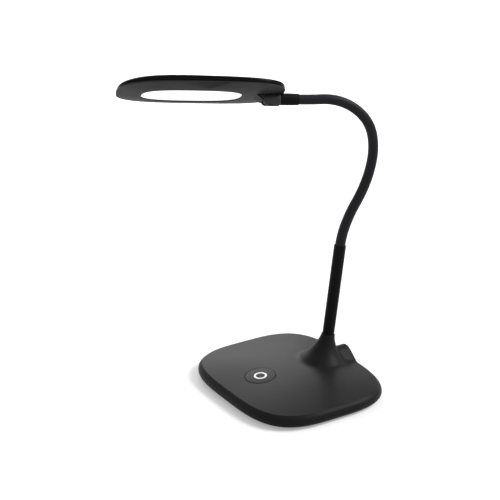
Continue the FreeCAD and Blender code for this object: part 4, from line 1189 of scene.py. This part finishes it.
@dataclass(frozen=True)
class Studio:
    """Floor, lamps and camera; metres."""

    floor_half: float = 6.0
    floor_white: float = 0.82
    floor_lift: float = 0.31
    floor_tint: float = 0.995
    floor_cells: int = 8
    world: float = 0.42
    sun: float = 2.3
    sun_angle: float = 28.0
    sun_from: tuple[float, float, float] = (0.45, 0.72, 0.8)
    panel_size: tuple[float, float] = (0.9, 0.5)
    panel_power: float = 7.5
    panel_at: tuple[float, float, float] = (-1.2, 0.42, 0.62)
    panel_aim: tuple[float, float, float] = (0.0, 0.0, 0.1)
    sensor: float = 36.0
    lens: float = 107.53
    far: float = 50.0
    camera_at: tuple[float, float, float] = (1.11114, -0.74316, 0.68049)
    camera_back: tuple[float, float, float] = (0.78623, -0.49360, 0.37175)
    camera_right: tuple[float, float, float] = (0.5317, 0.8469, 0.0)

    def build(self) -> None:
        """Set the stage, the lamps and the camera."""
        self.build_floor()
        self.build_world()
        self.build_lamps()
        self.build_camera()

    def build_floor(self) -> None:
        """Make the pale floor, lifted to white where the camera or a reflection sees it."""
        mesh = bmesh.new()
        cells = self.floor_cells
        bmesh.ops.create_grid(mesh, x_segments=cells, y_segments=cells, size=self.floor_half)
        colour, second = (self.floor_white,) * 3, (self.floor_white * self.floor_tint,) * 3
        pale = Finish("floor_white", colour, second, 0.9, 0.02, 40, 0.00001, specular=0.0)
        material = pale.material()
        nodes, links = material.node_tree.nodes, material.node_tree.links
        lift = nodes.new("ShaderNodeMath")
        lift.operation = "MULTIPLY"
        lift.inputs[1].default_value = self.floor_lift
        links.new(background_rays(nodes, links), lift.inputs[0])
        emission = nodes.new("ShaderNodeEmission")
        links.new(lift.outputs[0], emission.inputs["Strength"])
        both = nodes.new("ShaderNodeAddShader")
        links.new(nodes["Principled BSDF"].outputs[0], both.inputs[0])
        links.new(emission.outputs[0], both.inputs[1])
        links.new(both.outputs[0], nodes["Material Output"].inputs["Surface"])
        floor = finished(mesh, "floor", material)

    def build_world(self) -> None:
        """Make the even surroundings, white where the camera or a reflection sees them."""
        world = bpy.data.worlds.new("studio")
        bpy.context.scene.world = world
        world.use_nodes = True
        back = world.node_tree.nodes["Background"]
        back.inputs["Color"].default_value = (1, 1, 1, 1)
        nodes, links = world.node_tree.nodes, world.node_tree.links
        strength = nodes.new("ShaderNodeMath")
        strength.operation = "MULTIPLY_ADD"
        strength.inputs[1].default_value = 1.0 - self.world
        strength.inputs[2].default_value = self.world
        links.new(background_rays(nodes, links), strength.inputs[0])
        links.new(strength.outputs[0], back.inputs["Strength"])

    def build_lamps(self) -> None:
        """Make a broad sun from the rear right and a soft panel behind the lamp."""
        sun = bpy.data.lights.new("key", "SUN")
        sun.energy = self.sun
        sun.angle = math.radians(self.sun_angle)
        key = bpy.data.objects.new("key", sun)
        key.rotation_euler = direction_to_euler(Vector(self.sun_from))
        bpy.context.scene.collection.objects.link(key)
        panel = bpy.data.lights.new("panel", "AREA")
        panel.shape = "RECTANGLE"
        panel.size, panel.size_y = self.panel_size
        panel.energy = self.panel_power
        back = bpy.data.objects.new("panel", panel)
        spot = Vector(self.panel_at)
        back.location = spot
        back.rotation_euler = direction_to_euler(spot - Vector(self.panel_aim))
        bpy.context.scene.collection.objects.link(back)

    def build_camera(self) -> None:
        """Place the camera as fitted to the photo."""
        camera = bpy.data.cameras.new("camera")
        camera.sensor_width = self.sensor
        camera.lens = self.lens
        camera.clip_end = self.far
        view = bpy.data.objects.new("camera", camera)
        back = Vector(self.camera_back)
        right = Vector(self.camera_right)
        up = back.cross(right)
        turn = Matrix((right, up, back)).transposed().to_4x4()
        view.matrix_world = Matrix.Translation(Vector(self.camera_at)) @ turn
        bpy.context.scene.collection.objects.link(view)
        bpy.context.scene.camera = view
        bpy.context.scene.view_settings.view_transform = "Standard"


def background_rays(nodes: Nodes, links: Links) -> Socket:
    """Tell the rays that show the background from those that light the lamp.

    Args:
        nodes: The nodes of the material or world.
        links: Its links.

    Returns:
        A value that is 1 for camera, glossy and transmission rays and 0 for the others.
    """
    path = nodes.new("ShaderNodeLightPath")
    seen = path.outputs["Is Camera Ray"]
    for kind in ("Is Glossy Ray", "Is Transmission Ray"):
        either = nodes.new("ShaderNodeMath")
        either.operation = "MAXIMUM"
        links.new(seen, either.inputs[0])
        links.new(path.outputs[kind], either.inputs[1])
        seen = either.outputs[0]
    return seen


def direction_to_euler(away: Vector) -> tuple[float, float, float]:
    """Return the rotation that points a lamp's back along away."""
    return tuple(away.to_track_quat("Z", "Y").to_euler())


def main() -> None:
    """Build the lamp and its stage."""
    logging.basicConfig(level=logging.INFO, format="%(name)s: %(message)s")
    Hardware().dress()
    BaseShell().build()
    PushButton().build()
    Sleeves().build()
    Neck().build()
    Copies().build()
    Head().build()
    Studio().build()


if __name__ == "__main__":
    main()
